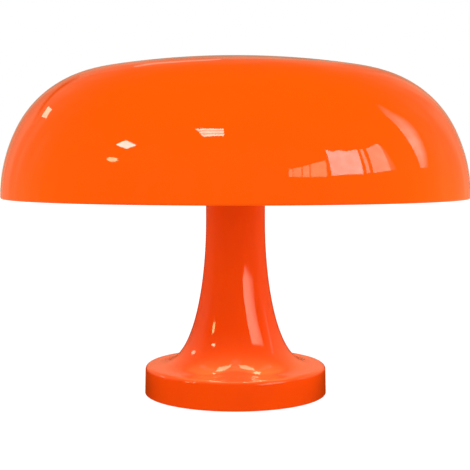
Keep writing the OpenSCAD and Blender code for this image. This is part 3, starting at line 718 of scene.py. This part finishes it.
def gripMesh(joint):
    # A rounded rib that lies along the axis, its ends sloping down to the skirt
    form = gripForm
    half, depth = form["width"] / 2, form["depth"]
    shoulder = depth * form["shoulder"]
    arch = [(-half, -form["root"]), (-half, 0), (-half / 2, shoulder), (0, depth), (half / 2, shoulder),
            (half, 0), (half, -form["root"])]
    start, end, slope = joint + form["from"], joint + form["to"], form["slope"]
    rows = []
    for z, rise in ((start, form["end"]), (start + slope, 1), (end - slope, 1), (end, form["end"])):
        rows.append([(form["radius"] - depth + (h * rise if h > 0 else h), y, z) for y, h in arch])
    return skinnedMesh(rows)


def threadedMesh(rows, radiusAt, columns=72):
    # A closed tube whose wall follows radiusAt(row, turn); rows run round the section
    grid = []
    for row in rows:
        ring = [(2 * pi * i / columns, *radiusAt(row, i / columns)) for i in range(columns)]
        grid.append([(r * cos(a), r * sin(a), z) for a, r, z in ring])
    return skinnedMesh(grid, closed=True)


def knuckle(z, turn, start, end):
    # 0 at the thread's root and 1 at its crest, fading out at both ends
    wave = 0.5 - 0.5 * cos(2 * pi * (z / threadPitch - turn))
    return wave * min(1, max(0, (z - start) / threadPitch), max(0, (end - z) / threadPitch))


def makeHolders():
    low, high = boxOf("lampholder_1")
    axis, joint, mouth = (low.z + high.z) / 2, low.x, high.x
    outline = (raised(skirtForm["fromJoint"], joint) + raised(skirtForm["fromMouth"], mouth)
               + raised(skirtForm["backToJoint"], joint))
    skirt = turnedMesh(softened(outline), "holder_plastic", steps=128, closed=True)
    front = joined([skirt, ringMesh(gripMesh(joint), "holder_plastic", gripForm["count"])])
    for k in range(1, holders + 1):
        addPiece(f"holderSkirt{k}", moved(front, towards(k, axis)), "holder_plastic", "stand",
                 [f"lampholder_{k}"])
    outline = raised(capForm["fromHub"], boxOf("hub_housing")[1].x) + raised(capForm["fromJoint"], joint)
    cap = moved(turnedMesh(softened(outline), "holder_plastic", closed=True), towards(1, axis))
    addPiece("holderCaps", ringMesh(cap, "holder_plastic", holders), "holder_plastic", "stand",
             ["holder_caps"])
    makeShells(axis)
    print("lampholders made")


def makeShells(axis):
    # Rolled brass: the same wave inside and out
    form = shellForm
    bore, wall, flange = form["bore"], form["wall"], form["flange"] - form["bore"]
    end = boxOf("screw_shells")[1].x
    start = end - form["length"]
    steps = evenly(start + form["tubeFrom"], end, form["steps"])
    rows = [(z, 0) for z in steps] + [(z, wall) for z in reversed(steps)]
    rows += [(start + form["flangeHeight"], flange), (start, flange), (start, 0)]

    def wallAt(row, turn):
        z, out = row
        if out > wall:
            return bore + out, z
        wave = knuckle(z, turn, start + form["threadFrom"], end + form["threadPast"])
        return bore + out + form["threadDepth"] * wave, z

    shell = moved(threadedMesh(rows, wallAt), towards(1, axis))
    addPiece("screwShells", ringMesh(shell, "brass", holders), "brass", "stand", ["screw_shells"])


makeHolders()


# Bulbs: opal globe, moulded housing, nickel cap with its thread, black glass and solder tip. The
# outlines of glass and solder count their heights from the tip.

globeForm = {"radius": 22.5, "wall": 1, "openDeg": 58, "lipDeg": 1, "edge": [(0.1, 0.15), (-0.4, 0)],
             "steps": 48, "innerSteps": 40}
housingForm = {"neck": 6.45, "neckEdge": 0.3, "neckDepth": 4, "wall": 1.5, "collar": 8.35, "collarEdge": 0.4,
               "bellRadius": 8.75, "bellFrom": 1, "startSlope": 0.15, "steps": 32, "hollow": slice(4, 28),
               "rim": [(-0.05, -0.25), (-0.35, 0), (-2.1, 0), (-2.1, -1.5), (-3.2, -1.5)], "bellWall": 2.1}
bulbCapForm = {"from": 4.2, "length": 14.3, "radius": 6.95, "wall": 0.4, "floorInset": 2, "chamfer": 1,
               "threadDepth": 0.8, "threadTo": 0.6, "smoothTo": 1.2, "smoothing": 1.5, "steps": 64}
tipForm = {"glass": [(0, 0.9), (2.6, 0.9, 0.3), (3.4, 1.3, 0.5), (4.85, 3.3, 0.6), (4.85, 4.6), (0, 4.6)],
           "solder": [(0, 0), (0.7, 0.05), (1.4, 0.22), (2, 0.5), (2.35, 0.85), (2.35, 0.9), (0, 0.9)]}


def globeOutline(centre, jointR, jointZ):
    form = globeForm
    outerTo = 180 - form["openDeg"] - form["lipDeg"]
    innerRadius = form["radius"] - form["wall"]
    innerFrom = 180 - degrees(acos((centre - jointZ) / innerRadius))
    return (arcPoints((0, centre), form["radius"], 0, outerTo, form["steps"])
            + [(jointR + r, jointZ + z) for r, z in form["edge"]]
            + arcPoints((0, centre), innerRadius, innerFrom, 0, form["innerSteps"]))


def housingOutline(capEnd, collar, jointR, jointZ):
    # The bell runs from the collar into the globe's own slope
    form = housingForm
    neck, bellZ = form["neck"], collar + form["bellFrom"]
    bell = []
    for t in evenly(0, 1, form["steps"]):
        cube = 2 * t ** 3 - 3 * t ** 2
        slopeIn = form["startSlope"] * (t ** 3 - 2 * t ** 2 + t)
        slopeOut = (t ** 3 - t ** 2) / tan(radians(globeForm["openDeg"]))
        radius = form["bellRadius"] * (cube + 1) - jointR * cube + (jointZ - bellZ) * (slopeIn + slopeOut)
        bell.append((radius, bellZ + (jointZ - bellZ) * t))
    foot = softened([(neck - form["wall"], capEnd + form["neckDepth"]),
                     (neck, capEnd + form["neckDepth"], form["neckEdge"]), (neck, collar),
                     (form["collar"], collar, form["collarEdge"]), bell[0]])[:-1]
    rim = [(jointR + r, jointZ + z) for r, z in form["rim"]]
    hollow = [(r - form["bellWall"], z) for r, z in reversed(bell[form["hollow"]])]
    return foot + bell[:-1] + rim + hollow + [(neck - form["wall"], collar + form["neckDepth"])]


def bulbCapMesh(capEnd, collar):
    form = bulbCapForm
    wall, inset = form["wall"], form["floorInset"]
    steps = evenly(capEnd + form["chamfer"], collar, form["steps"])
    rows = [(z, 0) for z in steps] + [(z, wall) for z in reversed(steps)]
    rows += [(capEnd + wall, inset), (capEnd, inset), (capEnd, form["chamfer"])]

    def capAt(row, turn):
        z, inwards = row
        radius = form["radius"] - inwards
        if inwards > wall:
            return radius, z
        wave = 1 - knuckle(z, turn, capEnd + form["chamfer"], collar - form["threadTo"])
        fade = min(1, max(0, (collar - form["smoothTo"] - z) / form["smoothing"]))
        return radius - form["threadDepth"] * wave * fade, z

    return threadedMesh(rows, capAt)


def bulbMeshes(tip):
    # The pieces of one bulb round +Z; tip is the height of its end contact
    capEnd = tip + bulbCapForm["from"]
    collar = capEnd + bulbCapForm["length"]
    radius, opening = globeForm["radius"], radians(globeForm["openDeg"])
    centre = boxOf("bulb_1_globe")[1].x - radius
    jointR, jointZ = radius * sin(opening), centre - radius * cos(opening)
    housing = housingOutline(capEnd, collar, jointR, jointZ)
    glass, solder = softened(raised(tipForm["glass"], tip)), raised(tipForm["solder"], tip)
    return {
        "globe": ("bulb_opal", turnedMesh(globeOutline(centre, jointR, jointZ), "bulb_opal", steps=128)),
        "housing": ("bulb_housing", turnedMesh(housing, "bulb_housing", closed=True)),
        "cap": ("bulb_cap", bulbCapMesh(capEnd, collar)),
        "insulator": ("bulb_insulator", turnedMesh(glass, "bulb_insulator", steps=48)),
        "tip": ("bulb_cap", turnedMesh(solder, "bulb_cap", steps=32)),
    }


def makeBulbs():
    low, high = boxOf("bulb_1_tip")
    axis = (low.z + high.z) / 2
    pieces = bulbMeshes(low.x)
    for k in range(1, holders + 1):
        for part, (slot, mesh) in pieces.items():
            addPiece(f"bulb{k}{part.capitalize()}", moved(mesh, towards(k, axis)), slot, f"bulb_{k}",
                     [f"bulb_{k}_{part}"], evenNormals=part != "globe")
    print("bulbs made")


makeBulbs()


# Room: a white floor and an even light

roomLight = {"even": 1.42, "sway": 0.1, "floorGlow": 0.985, "floorDim": 0.78, "floorPaint": 0.1,
             "floorSize": 12}   # floorSize in metres


def lightRoom():
    world = bpy.data.worlds.new("paleRoom")
    scene.world = world
    world.use_nodes = True
    world.cycles.sampling_method = "NONE"
    tree = world.node_tree
    tree.nodes.clear()
    ray = addNode(tree, "ShaderNodeLightPath").outputs
    part = addNode(tree, "ShaderNodeSeparateXYZ", {
        "Vector": addNode(tree, "ShaderNodeTexCoord").outputs["Generated"]}).outputs
    # The even light comes a little more from the right
    side = addNode(tree, "ShaderNodeMath", {
        0: part["X"], 1: roomLight["sway"] * roomLight["even"], 2: roomLight["even"]},
        operation="MULTIPLY_ADD")
    even = addNode(tree, "ShaderNodeBackground", {"Color": (1, 1, 1, 1), "Strength": side})
    gloss = addNode(tree, "ShaderNodeBackground", {"Color": (0, 0, 0, 1)})   # it meets the domes and cards
    seen = addNode(tree, "ShaderNodeBackground", {"Color": (1, 1, 1, 1)})
    first = addNode(tree, "ShaderNodeMixShader", {0: ray["Is Glossy Ray"], 1: even, 2: gloss})
    last = addNode(tree, "ShaderNodeMixShader", {0: ray["Is Camera Ray"], 1: first, 2: seen})
    addNode(tree, "ShaderNodeOutputWorld", {"Surface": last})
    scene.view_settings.view_transform = "Standard"


def stageMesh(name, corners, faces, material):
    mesh = bpy.data.meshes.new(name)
    mesh.from_pydata(corners, [], faces)
    mesh.materials.append(material)
    obj = bpy.data.objects.new(name, mesh)
    scene.collection.objects.link(obj)
    return obj


def makeFloor():
    material, tree = emptyMaterial("paleFloor")
    # The eye sees a white floor, and the lamp gets a little less light from it
    soft = addNode(tree, "ShaderNodeMapRange", {
        "Value": addNode(tree, "ShaderNodeLightPath").outputs["Is Diffuse Ray"],
        "To Min": roomLight["floorGlow"], "To Max": roomLight["floorDim"]})
    glow = addNode(tree, "ShaderNodeEmission", {"Strength": soft})
    paint = addNode(tree, "ShaderNodeBsdfDiffuse", {"Color": [roomLight["floorPaint"]] * 3 + [1]})
    both = addNode(tree, "ShaderNodeAddShader", {0: glow, 1: paint})
    clear = addNode(tree, "ShaderNodeBsdfTransparent")
    side = addNode(tree, "ShaderNodeNewGeometry")   # from below the floor isn't there
    shown = addNode(tree, "ShaderNodeMixShader", {0: side.outputs["Backfacing"], 1: both, 2: clear})
    addNode(tree, "ShaderNodeOutputMaterial", {"Surface": shown})
    material.cycles.emission_sampling = "NONE"
    half = roomLight["floorSize"] / 2
    floor = stageMesh("floor", [(-half, -half, 0), (half, -half, 0), (half, half, 0), (-half, half, 0)],
                      [(0, 1, 2, 3)], material)
    floor.visible_glossy = False


# What the gloss mirrors. Each light's points are degrees right of the front and degrees up, seen
# from the lamp; panes have hard edges, veils are rows of points with a brightness at each.
# A light shows only to the pieces that it is linked to; an opaque one hides what is behind it.
# Both domes have their radius in metres.

walls = {"colour": "#B8A589", "radius": 3.6, "height": (0.3, 0.9), "top": 0.1, "front": 0.13,
         "frontFrom": -0.1, "streakScale": 9, "streakStretch": 0.15, "streakReach": (0.35, 0.65),
         "streaks": (0.7, 1.15)}
aroundStand = {"colour": "#8C3A10", "radius": 3.5}   # deep warm dark
mirrorFrom = {"height": 165, "distance": 3000}   # the lamp's middle, and how far off the lights stand
lit = {}   # the two groups of pieces that lights are linked to

mirrored = {
    "lowPanes": {"strength": 3.3, "colour": "#FFFACB", "onto": "shade", "panes": [
        [(24.4, 19.8), (26.2, 20.2), (25.7, 15.2), (23.9, 15.3)],
        [(26.5, 20.3), (30.5, 21), (29.7, 14.9), (26, 15.2)],
        [(31.1, 21.2), (34.5, 22.2), (33.5, 14.7), (30.2, 14.9)],
        [(35.1, 22.4), (43.1, 24.1), (41.7, 14.4), (34, 14.7)]]},
    "widePane": {"strength": 5.6, "colour": "#FFFFFF", "onto": "shade", "panes": [
        [(45.2, 30.5), (48.1, 28.8), (44.1, 14.9)],
        [(48.1, 28.8), (51.7, 29.3), (55.7, 28.1), (62.1, 28.1), (60.4, 14.4), (44.1, 14.9)]]},
    "sidePanes": {"strength": 3.7, "colour": "#FFF4E4", "onto": "shade", "panes": [
        [(63.6, 28), (65.3, 27.8), (64.3, 14.8), (62.4, 14.5)],
        [(67.4, 27.6), (75.7, 28.9), (76.5, 26.9), (76.4, 22), (76.4, 14.5), (66, 14.4)]]},
    "paneHalo": {"strength": 1.3, "colour": "#FFF4E4", "onto": "shade", "veils": [
        [[(75.7, 28.9, 1), (77.8, 27.2, 0)], [(76.4, 22, 1), (79.3, 21.5, 0)],
         [(76.4, 14.5, 1), (80.4, 14.1, 0)]]]},
    "skylight": {"strength": 15, "colour": "#FFFAF0", "onto": "shade", "panes": [
        [(-63, 30.9), (-58.8, 34.3), (-51.3, 32.4), (-55.4, 29.6)]]},
    "louvre": {"strength": 15, "colour": "#FFF3E0", "onto": "shade", "panes": [
        [(-23.5, 46.4), (-6.8, 47.3), (-6.7, 46.4), (-21.8, 45.5)],
        [(-20.9, 44.7), (-6.5, 45.5), (-6.4, 44.6), (-19.8, 43.8)],
        [(-19.2, 42.8), (-6.4, 43.5), (-6.3, 42.4), (-17.6, 41.6)]]},
    "louvreGaps": {"strength": 8, "colour": "#FFF0E0", "onto": "shade", "panes": [
        [(-21.8, 45.5), (-6.7, 46.4), (-6.5, 45.5), (-20.9, 44.7)],
        [(-19.8, 43.8), (-6.4, 44.6), (-6.4, 43.5), (-19.2, 42.8)]]},
    "spot": {"strength": 10, "colour": "#FFFAC8", "onto": "shade", "panes": [
        [(-60.6 + 3.2 * cos(a), 22.6 + 1.3 * sin(a)) for a in [radians(30 * i) for i in range(12)]]]},
    "streak": {"strength": 10, "colour": "#FFF9AC", "onto": "stand", "panes": [
        [(-66.5, 20), (-67.1, 16.6), (-64.9, 14.7), (-59.7, 15.8), (-59.6, 18.1), (-62.3, 20.7)]]},
    "spark": {"strength": 14, "colour": "#FFF6CE", "onto": "stand", "panes": [
        [(-65.3, 28.9), (-59.3, 28.3), (-52.7, 31.1), (-58.7, 31.9)]]},
    "sideSpark": {"strength": 6, "colour": "#FFF6CE", "onto": "stand", "panes": [
        [(-119.5, 21.4), (-116.1, 20.3), (-108.2, 23), (-108.2, 25.6), (-113.3, 26)]]},
    "backDoor": {"strength": 3.2, "colour": "#FFFADA", "onto": "shade", "panes": [
        [(-136.5, 26.3), (-130.1, 28.6), (-125.1, 25.8), (-131.1, 23.6)]]},
    "doorFrame": {"strength": 0.8, "colour": "#AD9B81", "onto": "shade", "opaque": True, "veils": [[
        [(-156.2, 27.3, 1), (-159.8, 23.1, 0.8), (-163.8, 17.5, 1)],
        [(-153.8, 26.9, 1), (-157.5, 23.2, 0.3), (-161.5, 18.4, 1)],
        [(-150.9, 26.4, 1), (-154.7, 23.2, 0), (-158.7, 19.1, 1)],
        [(-147.5, 26, 1), (-151.1, 23.3, 0), (-155.1, 20, 1)],
        [(-143.7, 25.4, 1), (-147.3, 23.2, 0), (-151.2, 20.5, 1)],
        [(-140.1, 24.7, 1), (-143.6, 22.9, 0), (-147.3, 20.7, 1)],
        [(-136.6, 23.8, 1), (-139.8, 22.3, 0.1), (-143.3, 20.5, 1)],
        [(-133, 22.5, 1), (-136.1, 21.3, 0.4), (-139.4, 19.9, 1)],
        [(-129, 20.6, 1), (-131.9, 19.6, 1), (-135.1, 18.5, 1)]]]},
    "curtain": {"strength": 3.3, "colour": "#FFF6EA", "onto": "shade", "veils": [[
        [(105.4, 45.4, 0), (107.7, 45, 0.1), (110, 44.5, 0)],
        [(98.8, 39.1, 0.25), (103.5, 39.2, 0.35), (108.1, 38.7, 0)],
        [(97.7, 33.2, 0.5), (103.3, 33.4, 0.55), (109.7, 33, 0)],
        [(97.1, 27, 0.8), (102.8, 27.5, 0.8), (109.7, 27, 0)],
        [(96.9, 21.7, 0.9), (101.6, 22.4, 1), (108.1, 22.3, 0)],
        [(96.8, 17.1, 0.7), (100.4, 17.6, 0.8), (106.3, 17.6, 0)],
        [(96.2, 12.7, 0.5), (98.5, 12.4, 0.5), (102.5, 11.9, 0)]]]},
    "crownLine": {"strength": 0.75, "colour": "#FFF0DC", "onto": "shade", "veils": [[
        [(-165.6, 31.4, 0.2), (-164.3, 33.8, 0.8), (-163.6, 36.2, 0.2)],
        [(-169.4, 28.4, 0.2), (-168.7, 32.2, 1), (-167.6, 35, 0.2)],
        [(-173.3, 28.4, 0.2), (-172.4, 33, 1), (-171.4, 35.4, 0.1)],
        [(-176.9, 27.4, 0.2), (-176.3, 32.1, 0.9), (-175.6, 34.6, 0.1)],
        [(-178.8, 24, 0.1), (-178.4, 28.3, 0.6), (-178, 32, 0)]]]},
    "stemStrip": {"strength": 4.4, "colour": "#FFFADB", "onto": "stand", "veils": [[
        [(33, 3, 0.4), (35.6, 3, 0.4), (38, 2.8, 0.2), (40, 2.6, 0)],
        [(24.7, 5.5, 0.9), (36, 5.2, 1), (50, 4.6, 0.6), (65.2, 3.8, 0.1)],
        [(26.6, 9.1, 1), (38, 8.6, 1), (50, 7.8, 0.75), (63.1, 6.9, 0.2)],
        [(32.1, 13.9, 1), (42, 13.2, 1), (53, 12.2, 0.8), (64.8, 11.1, 0.3)],
        [(38, 21.5, 1), (48, 20.4, 1), (59, 19, 0.9), (71, 17.4, 0.3)],
        [(44.2, 30.3, 0.8), (54, 29.2, 0.9), (65, 27.6, 0.7), (76.3, 25.8, 0.3)],
        [(45, 32.5, 0), (55, 31.4, 0), (66, 29.8, 0), (77, 28, 0)]]]},
    "footHaze": {"strength": 0.9, "colour": "#AD9B81", "onto": "stand", "veils": [[
        [(80, up, 0)] + [(right, up, glow) for right in range(100, 261, 20)] + [(280, up, 0)]
        for up, glow in ((-4, 0.3), (2, 0.6), (8, 1), (20, 1), (34, 0.35), (60, 0.3), (80, 0.2))]]},
    "stemHaze": {"strength": 1, "colour": "#FFF6EA", "onto": "stand", "veils": [[
        [(96, 5, 0), (99, 5, 0.6), (104, 5, 0)],
        [(96, 14, 0), (98.6, 14, 1), (103, 14, 0)],
        [(95, 30, 0), (98, 30, 1), (102, 30, 0)]]]},
}


glowNoise = {"scale": 5, "detail": 3, "spread": 0.15}   # how a light's brightness wanders over it


def lightUp(material, colour, power, opaque=False):
    # Ends a light's material: emission, and clear unless it is opaque
    tree = material.node_tree
    shader = addNode(tree, "ShaderNodeEmission", {"Color": linearFromHex(colour), "Strength": power})
    if not opaque:
        shader = addNode(tree, "ShaderNodeAddShader", {
            0: shader, 1: addNode(tree, "ShaderNodeBsdfTransparent")})
    addNode(tree, "ShaderNodeOutputMaterial", {"Surface": shader})
    material.cycles.emission_sampling = "NONE"
    return material


def makeGlow(name, strength, colour, opaque=False, reach=0):
    # reach: the least distance in mm from which the light is seen
    material, tree = emptyMaterial(name)
    share = addNode(tree, "ShaderNodeAttribute", attribute_name="glow")
    cloud = addNode(tree, "ShaderNodeTexNoise", {
        "Vector": addNode(tree, "ShaderNodeTexCoord").outputs["Object"],
        "Scale": glowNoise["scale"], "Detail": glowNoise["detail"]})
    mottle = addNode(tree, "ShaderNodeMapRange", {
        "Value": cloud, "To Min": strength * (1 - glowNoise["spread"]),
        "To Max": strength * (1 + glowNoise["spread"]), **noiseReach})
    power = addNode(tree, "ShaderNodeMath", {0: share.outputs["Fac"], 1: mottle}, operation="MULTIPLY")
    if reach:
        length = addNode(tree, "ShaderNodeLightPath").outputs["Ray Length"]
        far = addNode(tree, "ShaderNodeMath", {0: length, 1: reach * mm}, operation="GREATER_THAN")
        power = addNode(tree, "ShaderNodeMath", {0: power, 1: far}, operation="MULTIPLY")
    return lightUp(material, colour, power, opaque)


def makeWalls():
    # A warm band of walls with upright streaks, darker above and in front
    material, tree = emptyMaterial("walls")
    way = addNode(tree, "ShaderNodeVectorMath", {
        0: addNode(tree, "ShaderNodeTexCoord").outputs["Object"]}, operation="NORMALIZE")
    part = addNode(tree, "ShaderNodeSeparateXYZ", {"Vector": way}).outputs
    fade = addNode(tree, "ShaderNodeMapRange", {
        "Value": part["Z"], "From Min": walls["height"][0], "From Max": walls["height"][1],
        "To Min": 1, "To Max": walls["top"]}, interpolation_type="SMOOTHSTEP")
    front = addNode(tree, "ShaderNodeMapRange", {
        "Value": part["Y"], "From Min": walls["frontFrom"], "To Min": walls["front"]},
        interpolation_type="SMOOTHSTEP")
    upright = addNode(tree, "ShaderNodeMapping", {"Vector": way, "Scale": (1, 1, walls["streakStretch"])})
    streaks = addNode(tree, "ShaderNodeTexNoise", {"Vector": upright, "Scale": walls["streakScale"]})
    streak = addNode(tree, "ShaderNodeMapRange", {
        "Value": streaks, "From Min": walls["streakReach"][0], "From Max": walls["streakReach"][1],
        "To Min": walls["streaks"][0], "To Max": walls["streaks"][1]})
    power = fade
    for share in (front, streak):
        power = addNode(tree, "ShaderNodeMath", {0: power, 1: share}, operation="MULTIPLY")
    addDome("walls", walls["radius"], lightUp(material, walls["colour"], power), "shade")


def addDome(name, radius, material, group):
    shape = bmesh.new()
    bmesh.ops.create_uvsphere(shape, u_segments=64, v_segments=32, radius=radius)
    mesh = plainMesh(shape)
    mesh.materials.append(material)
    dome = bpy.data.objects.new(name, mesh)
    scene.collection.objects.link(dome)
    hideCard(dome, [1] * len(mesh.vertices))
    linkTo(dome, group)


def hideCard(card, glows):
    # Only the gloss sees the card
    card.data.attributes.new("glow", "FLOAT", "POINT").data.foreach_set("value", glows)
    card.visible_camera = False
    card.visible_diffuse = False
    card.visible_shadow = False
    card.visible_transmission = False


def linkTo(light, group):
    # Light linking: the stand's gloss has its own surroundings
    if group not in lit:
        lit[group] = bpy.data.collections.new(group + "Gloss")
        for obj in scene.objects:
            onStand = obj.name in ("standBody", "standRibs")
            if obj.type == "MESH" and onStand == (group == "stand"):
                lit[group].objects.link(obj)
    light.light_linking.receiver_collection = lit[group]


def skyPoint(right, up):
    turn, rise = radians(right), radians(up)
    way = Vector((sin(turn) * cos(rise), -cos(turn) * cos(rise), sin(rise)))
    return (Vector((0, 0, mirrorFrom["height"])) + mirrorFrom["distance"] * way) * mm


def makeMirrored():
    for name, light in mirrored.items():
        corners, faces, glows = [], [], []
        for pane in light.get("panes", []):
            faces.append(range(len(corners), len(corners) + len(pane)))
            corners += [skyPoint(right, up) for right, up in pane]
            glows += [1] * len(pane)
        for veil in light.get("veils", []):
            wide = len(veil[0])
            for row in range(len(veil) - 1):
                start = len(corners) + row * wide
                faces += [(n, n + 1, n + wide + 1, n + wide) for n in range(start, start + wide - 1)]
            corners += [skyPoint(right, up) for row in veil for right, up, _ in row]
            glows += [glow for row in veil for *_, glow in row]
        glow = makeGlow(name, light["strength"], light["colour"], light.get("opaque"))
        card = stageMesh(name, corners, faces, glow)
        hideCard(card, glows)
        linkTo(card, light["onto"])


# Cards beside the stand that only matt light meets: dull ones low down, bright ones above them.
# Each has its distance to the right, its half width, its strength, and its lower and upper edge, in mm.

sideCards = {"darkLeft": (-200, 160, 0.05, 1, 48), "darkRight": (200, 160, 0.2, 1, 48),
             "nearLeft": (-80, 45, 0.35, 1, 26), "nearRight": (80, 45, 0.45, 1, 26),
             "brightLeft": (-200, 160, 3.2, 60, 125), "brightRight": (200, 160, 3.9, 60, 125)}
sideColour = "#FFF8F0"


def makeSideCards():
    for name, (x, y, strength, low, high) in sideCards.items():
        corners = [Vector(c) * mm for c in ((x, -y, low), (x, y, low), (x, y, high), (x, -y, high))]
        card = stageMesh(name, corners, [(0, 1, 2, 3)], makeGlow(name, strength, sideColour, opaque=True))
        hideCard(card, [1] * 4)
        card.visible_diffuse = True
        card.visible_glossy = False


# The warm light under the shade: it falls on the foot, whose gloss mirrors petals and an orange glow

footLights = {"count": 8, "power": 0.09, "colour": "#FFE9C8", "size": 12, "ring": 62, "height": 105,
              "spread": 56}
petals = {"strength": 7.5, "colour": "#FFF3C6", "height": 146, "reach": 115, "outlines": [
    [(-43, 1), (-48, -47), (-15, -76), (-15, -60), (-32, -11)],
    [(12, -74), (34, -66), (48, -37), (45, -12), (33, -26), (13, -53)],
    [(36, 9), (47, -2), (48, 25), (40, 58), (33, 70), (30, 41)],
    [(6, 54), (20, 72), (17, 112), (6, 95)],
    [(-43, 22), (-30, 36), (-24, 95), (-34, 73)]]}
# Each ring of the glow has its radius and its brightness
underGlow = {"strength": 1.5, "colour": "#FFD062", "height": 147, "reach": 115, "steps": 32,
             "rings": [(24, 1), (60, 1), (105, 0.55), (152, 0)]}


def makeFootLights():
    form = footLights
    for i in range(form["count"]):
        data = bpy.data.lights.new(f"footLight{i + 1}", "SPOT")
        data.energy, data.color = form["power"], linearFromHex(form["colour"])[:3]
        data.shadow_soft_size, data.spot_size, data.spot_blend = form["size"] * mm, radians(form["spread"]), 1
        lamp = bpy.data.objects.new(data.name, data)
        turn = Matrix.Rotation(2 * pi * i / form["count"], 3, "Z")
        lamp.location = turn @ Vector((form["ring"], 0, form["height"])) * mm
        lamp.visible_camera = False
        lamp.visible_glossy = False
        scene.collection.objects.link(lamp)


def makeUnderCard(name, form, points, faces, glows):
    corners = [Vector((x, y, form["height"])) * mm for x, y in points]
    glow = makeGlow(name, form["strength"], form["colour"], reach=form["reach"])
    hideCard(stageMesh(name, corners, faces, glow), glows)


def makeUnderLight():
    makeFootLights()
    points, faces = [], []
    for outline in petals["outlines"]:
        faces.append(range(len(points), len(points) + len(outline)))
        points += outline
    makeUnderCard("petals", petals, points, faces, [1] * len(points))
    steps, rings = underGlow["steps"], underGlow["rings"]
    turns = [2 * pi * i / steps for i in range(steps)]
    points = [(r * cos(a), r * sin(a)) for r, _ in rings for a in turns]
    faces = [(n + i, n + (i + 1) % steps, n + steps + (i + 1) % steps, n + steps + i)
             for n in range(0, steps * (len(rings) - 1), steps) for i in range(steps)]
    makeUnderCard("underGlow", underGlow, points, faces, [glow for _, glow in rings for _ in turns])


lightRoom()
makeFloor()
makeWalls()
addDome("aroundStand", aroundStand["radius"], makeGlow("aroundStand", 1, aroundStand["colour"]), "stand")
makeMirrored()
makeSideCards()
makeUnderLight()
print("room lit")
